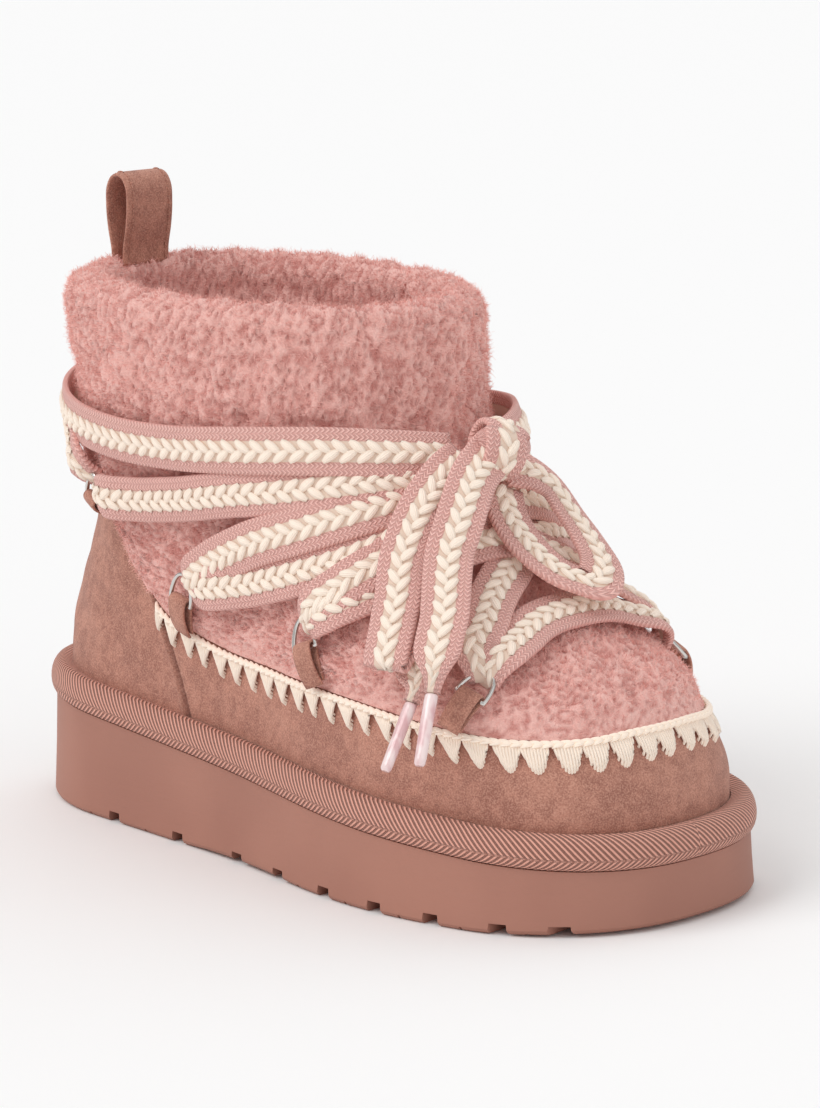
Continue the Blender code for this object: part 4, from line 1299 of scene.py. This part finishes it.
def ring_tab(name, here, way, normal):
    """Suede leaf folded round the ring's bar and lying down the fleece. The last ring's leaf
    is short, and sinks into the pile above the heel."""
    inner = RING_WIRE / 2 + GAP + TAB_THICKNESS / 2
    centre = here + RING_WIRE / 2 * normal
    length, sink = (0.45 * TAB_LENGTH, 0.0090) if name.endswith("4") else (TAB_LENGTH, 0.0055)
    lower = [centre + way * share * length - normal * (inner + 0.003 * share * share)
             for share in np.linspace(0.8, 0.1, 9)]
    fold = [centre + inner * (-math.sin(a) * way - math.cos(a) * normal)
            for a in np.linspace(0, math.pi, 14)]
    above = [centre + way * share * length + normal * (inner - sink * share * share)
             for share in np.linspace(0.1, 0.9, 9)]
    points = np.array(lower + fold + above)
    across = np.cross(normal, way)
    return strap(name, "suede", points, np.cross(np.gradient(points, axis=0), across),
                 TAB_WIDTH, TAB_THICKNESS)


def make_pull_loop():
    """Suede strap folded over at the back of the collar, stitched along both edges."""
    crest = (upper(1.0, math.pi, -WALL / 2)
             + [0.0, 0.0, WALL / 2 + COLLAR_ROLL + PILE_LUMP + GAP])
    middle = crest + [LOOP_FORWARD, 0.0, 0.0]
    keys = []
    for share, spread in ((0.0, 0.55), (0.3, 0.85), (0.6, 1.0)):
        keys.append(middle + [-spread * LOOP_SPREAD / 2, 0, share * LOOP_HEIGHT])
    for a in np.linspace(0, math.pi, 7)[1:-1]:
        keys.append(middle + [-math.cos(a) * LOOP_SPREAD / 2, 0,
                              LOOP_HEIGHT * (0.72 + 0.28 * math.sin(a))])
    for share, spread in ((0.6, 1.0), (0.3, 0.85), (0.0, 0.55)):
        keys.append(middle + [spread * LOOP_SPREAD / 2, 0, share * LOOP_HEIGHT])
    deep = np.array([0.0, 0.0, -LOOP_DEEP])
    keys = np.array([keys[0] + deep] + keys + [keys[-1] + deep])
    place = walked(keys)
    table = np.column_stack([place, keys])
    at = np.linspace(0, place[-1], 60)
    points = np.stack([smooth(at, table, c) for c in (1, 2, 3)], -1)
    side = np.array([0.0, 1.0, 0.0])
    normals = np.cross(np.gradient(points, axis=0), side)
    dress(strap("pull_strap", "suede", points, normals, LOOP_WIDTH, LOOP_THICKNESS, count=24),
          "suede", "pull_loop")
    normals = unit(normals)
    stitches = []
    t = np.linspace(0, 1, 5)
    for edge in (-1, 1):
        for s0 in np.arange(0.001, place[-1] - LOOP_STITCH_PITCH, LOOP_STITCH_PITCH):
            s = s0 + LOOP_STITCH * t
            spot = np.stack([np.interp(s, at, points[:, c]) for c in range(3)], -1)
            out = np.stack([np.interp(s, at, normals[:, c]) for c in range(3)], -1)
            raised = LOOP_THICKNESS / 2 + 0.00012 * np.sin(math.pi * t)
            stitches.append(spot + edge * (LOOP_WIDTH / 2 - LOOP_STITCH_INSET) * side
                            + raised[:, None] * out)
    rings = tube(np.array(stitches), LOOP_THREAD)
    dress(many("pull_strap_stitches", "suede", rings), "suede")


def make_camera(look):
    """The photograph's view. The camera looks along its own axis past the boot's middle."""
    az, el, roll = (math.radians(v) for v in (look.azimuth, look.elevation, look.roll))
    back = Vector((math.sin(az) * math.cos(el), -math.cos(az) * math.cos(el), math.sin(el)))
    right = Vector((math.cos(az), math.sin(az), 0))
    up = back.cross(right)
    right, up = (right * math.cos(roll) + up * math.sin(roll),
                 up * math.cos(roll) - right * math.sin(roll))
    scale = look.distance / FOCAL
    spot = (back * look.distance - right * (ORIGIN_PX[0] - IMAGE[0] / 2) * scale
            + up * (ORIGIN_PX[1] - IMAGE[1] / 2) * scale)
    camera = bpy.data.objects.new("camera", bpy.data.cameras.new("camera"))
    bpy.context.collection.objects.link(camera)
    turned = Matrix((right, up, back)).transposed().to_4x4()
    camera.matrix_world = Matrix.Translation(spot + Vector(SHIFT)) @ turned
    camera.data.sensor_fit = "HORIZONTAL"
    camera.data.lens = FOCAL / IMAGE[0] * camera.data.sensor_width
    camera.data.clip_end = 100
    bpy.context.scene.camera = camera


def make_stage(look):
    """Plain pale floor, soft lights and an even surround."""
    data = bpy.data.meshes.new("floor")
    data.from_pydata([(-25, -25, 0), (25, -25, 0), (25, 25, 0), (-25, 25, 0)], [],
                     [(0, 1, 2, 3)])
    floor = bpy.data.objects.new("floor", data)
    bpy.context.collection.objects.link(floor)
    plain = bpy.data.materials.new("floor")
    plain.use_nodes = True
    surface = plain.node_tree.nodes["Principled BSDF"]
    surface.inputs["Base Color"].default_value = (*look.floor_colour, 1.0)
    surface.inputs["Roughness"].default_value = 0.9
    surface.inputs["Specular IOR Level"].default_value = 0.1
    data.materials.append(plain)
    world = bpy.data.worlds.new("surround")
    world.use_nodes = True
    world.node_tree.nodes["Background"].inputs["Color"].default_value = (1, 1, 1, 1)
    world.node_tree.nodes["Background"].inputs["Strength"].default_value = look.surround
    bpy.context.scene.world = world
    bpy.context.scene.view_settings.view_transform = "Standard"
    for name, place, width, power in (("key", (-0.5, -1.3, 1.5), 40, look.key),
                                      ("fill", (1.6, -0.4, 1.0), 70, look.fill),
                                      ("top", (-0.4, 0.9, 1.6), 60, look.top)):
        lamp = bpy.data.lights.new(name, "SUN")
        lamp.angle = math.radians(width)
        lamp.energy = power
        light = bpy.data.objects.new(name, lamp)
        bpy.context.collection.objects.link(light)
        light.location = place
        aim = Vector((0, 0, 0.08)) - Vector(place)
        light.rotation_euler = aim.to_track_quat("-Z", "Y").to_euler()


def number(name, text, value, low, high, **options):
    """A number that the user may change."""
    return bpy.props.FloatProperty(name=name, description=text, default=value, min=low,
                                   max=high, **options)


def colour(name, text, value):
    """A colour that the user may change."""
    return bpy.props.FloatVectorProperty(name=name, description=text, default=value[:3],
                                         size=3, min=0.0, max=1.0, subtype="COLOR")


class BootLooks(bpy.types.PropertyGroup):
    """Colours and sizes of what the scene adds"""
    suede_light: colour("Suede, light", "Suede with its nap up", tint(191, 135, 116))
    suede_dark: colour("Suede, dark", "Suede with its nap down", tint(164, 111, 95))
    # Painted shade: the pile's colour in its crevices and at its fibres' roots
    fleece_root_shade: colour("Fleece, roots", "Pile at its roots", tint(206, 137, 128))
    fleece_tip: colour("Fleece, tips", "Pile at its tips", tint(252, 204, 194))
    lace_pink: colour("Lace borders", "Woven borders of the lace", tint(252, 200, 190))
    cream: colour("Yarn", "Cream yarn of lace and stitching", tint(255, 241, 226))
    welt_colour: colour("Welt", "Twill tape of the welt", tint(236, 172, 152))
    sole_colour: colour("Sole", "Moulded foam of the sole", tint(174, 121, 104))
    floor_colour: colour("Floor", "Plain floor", tint(250, 250, 250))
    pile_height: number("Pile height", "Length of a fibre of the fleece", 0.0018, 0.001, 0.01,
                        unit="LENGTH", precision=4)
    pile_base: number("Pile base", "Depth of the skin below the curls, as a share", 0.80, 0.1,
                      1.0, subtype="FACTOR")
    curl_size: number("Curl size", "Width of one curl", 0.0028, 0.001, 0.01, unit="LENGTH",
                      precision=4)
    lump: number("Lump height", "Height of the pile's small lumps", 0.0010, 0, 0.005,
                 unit="LENGTH", precision=4)
    fibre_width: number("Fibre width", "Width of a fibre at its root", 0.00020, 0.0001, 0.001,
                        unit="LENGTH", precision=5)
    azimuth: number("View azimuth", "Camera's turn round the boot in degrees", 44.5, -360, 360)
    elevation: number("View elevation", "Camera's height in degrees", 10.8, -90, 90)
    roll: number("View roll", "Camera's roll in degrees", -0.34, -90, 90)
    distance: number("View distance", "Camera's distance", 1.395, 0.1, 10, unit="LENGTH")
    surround: number("Surround", "Strength of the even light all round", 0.58, 0, 5)
    key: number("Key light", "Strength of the broad front light", 1.15, 0, 20)
    fill: number("Fill light", "Strength of the light from the toe", 0.35, 0, 20)
    top: number("Top light", "Strength of the light from behind", 0.45, 0, 20)


class BOOT_OT_camera(bpy.types.Operator):
    """Camera at the photograph's view"""
    bl_idname = "boot.camera"
    bl_label = "Camera"

    def execute(self, context):
        make_camera(context.scene.boot_looks)
        return {"FINISHED"}


class BOOT_OT_bow(bpy.types.Operator):
    """Bow, hanging ends and aglets of the lace"""
    bl_idname = "boot.bow"
    bl_label = "Bow"

    def execute(self, context):
        make_bow()
        return {"FINISHED"}


class BOOT_OT_lacing(bpy.types.Operator):
    """Flat lace through the D-rings and round the ankle"""
    bl_idname = "boot.lacing"
    bl_label = "Lacing"

    def execute(self, context):
        make_lacing()
        return {"FINISHED"}


class BOOT_OT_sole(bpy.types.Operator):
    """Moulded platform sole with its tread"""
    bl_idname = "boot.sole"
    bl_label = "Sole"

    def execute(self, context):
        make_sole()
        return {"FINISHED"}


class BOOT_OT_welt(bpy.types.Operator):
    """Twill-covered rand"""
    bl_idname = "boot.welt"
    bl_label = "Welt"

    def execute(self, context):
        make_welt()
        return {"FINISHED"}


class BOOT_OT_suede(bpy.types.Operator):
    """Suede foot with its heel counter, and the lining"""
    bl_idname = "boot.suede"
    bl_label = "Suede"

    def execute(self, context):
        make_suede()
        return {"FINISHED"}


class BOOT_OT_footbed(bpy.types.Operator):
    """Pile footbed"""
    bl_idname = "boot.footbed"
    bl_label = "Footbed"

    def execute(self, context):
        make_footbed()
        return {"FINISHED"}


class BOOT_OT_fleece(bpy.types.Operator):
    """Curled pile over vamp, shaft and collar"""
    bl_idname = "boot.fleece"
    bl_label = "Fleece"

    def execute(self, context):
        make_fleece(context.scene.boot_looks)
        return {"FINISHED"}


class BOOT_OT_stitching(bpy.types.Operator):
    """Whipstitch petals and crocheted edge"""
    bl_idname = "boot.stitching"
    bl_label = "Stitching"

    def execute(self, context):
        make_stitching()
        return {"FINISHED"}


class BOOT_OT_rings(bpy.types.Operator):
    """D-rings and their suede tabs"""
    bl_idname = "boot.rings"
    bl_label = "Rings"

    def execute(self, context):
        make_rings()
        return {"FINISHED"}


class BOOT_OT_pull_loop(bpy.types.Operator):
    """Suede pull loop at the back"""
    bl_idname = "boot.pull_loop"
    bl_label = "Pull loop"

    def execute(self, context):
        make_pull_loop()
        return {"FINISHED"}


class BOOT_OT_stage(bpy.types.Operator):
    """Floor, lights and surround"""
    bl_idname = "boot.stage"
    bl_label = "Stage"

    def execute(self, context):
        make_stage(context.scene.boot_looks)
        return {"FINISHED"}


OPERATORS = (BOOT_OT_camera, BOOT_OT_bow, BOOT_OT_lacing, BOOT_OT_sole, BOOT_OT_welt,
             BOOT_OT_suede, BOOT_OT_footbed, BOOT_OT_fleece, BOOT_OT_stitching,
             BOOT_OT_rings, BOOT_OT_pull_loop, BOOT_OT_stage)


class BOOT_PT_panel(bpy.types.Panel):
    """Colours and pieces of the boot"""
    bl_idname = "BOOT_PT_panel"
    bl_label = "Boot"
    bl_space_type = "VIEW_3D"
    bl_region_type = "UI"
    bl_category = "Boot"

    def draw(self, context):
        looks = context.scene.boot_looks
        for key in BootLooks.__annotations__:
            self.layout.prop(looks, key)
        for operator in OPERATORS:
            self.layout.operator(operator.bl_idname)


CLASSES = (BootLooks, *OPERATORS, BOOT_PT_panel)


def register():
    """Registers the classes and the scene's property group."""
    for cls in CLASSES:
        bpy.utils.register_class(cls)
    bpy.types.Scene.boot_looks = bpy.props.PointerProperty(type=BootLooks)


def unregister():
    """Takes them out again."""
    del bpy.types.Scene.boot_looks
    for cls in reversed(CLASSES):
        bpy.utils.unregister_class(cls)


def main():
    """Makes every piece in order."""
    register()
    for operator in OPERATORS:
        group, name = operator.bl_idname.split(".")
        getattr(getattr(bpy.ops, group), name)()


if __name__ == "__main__":
    main()
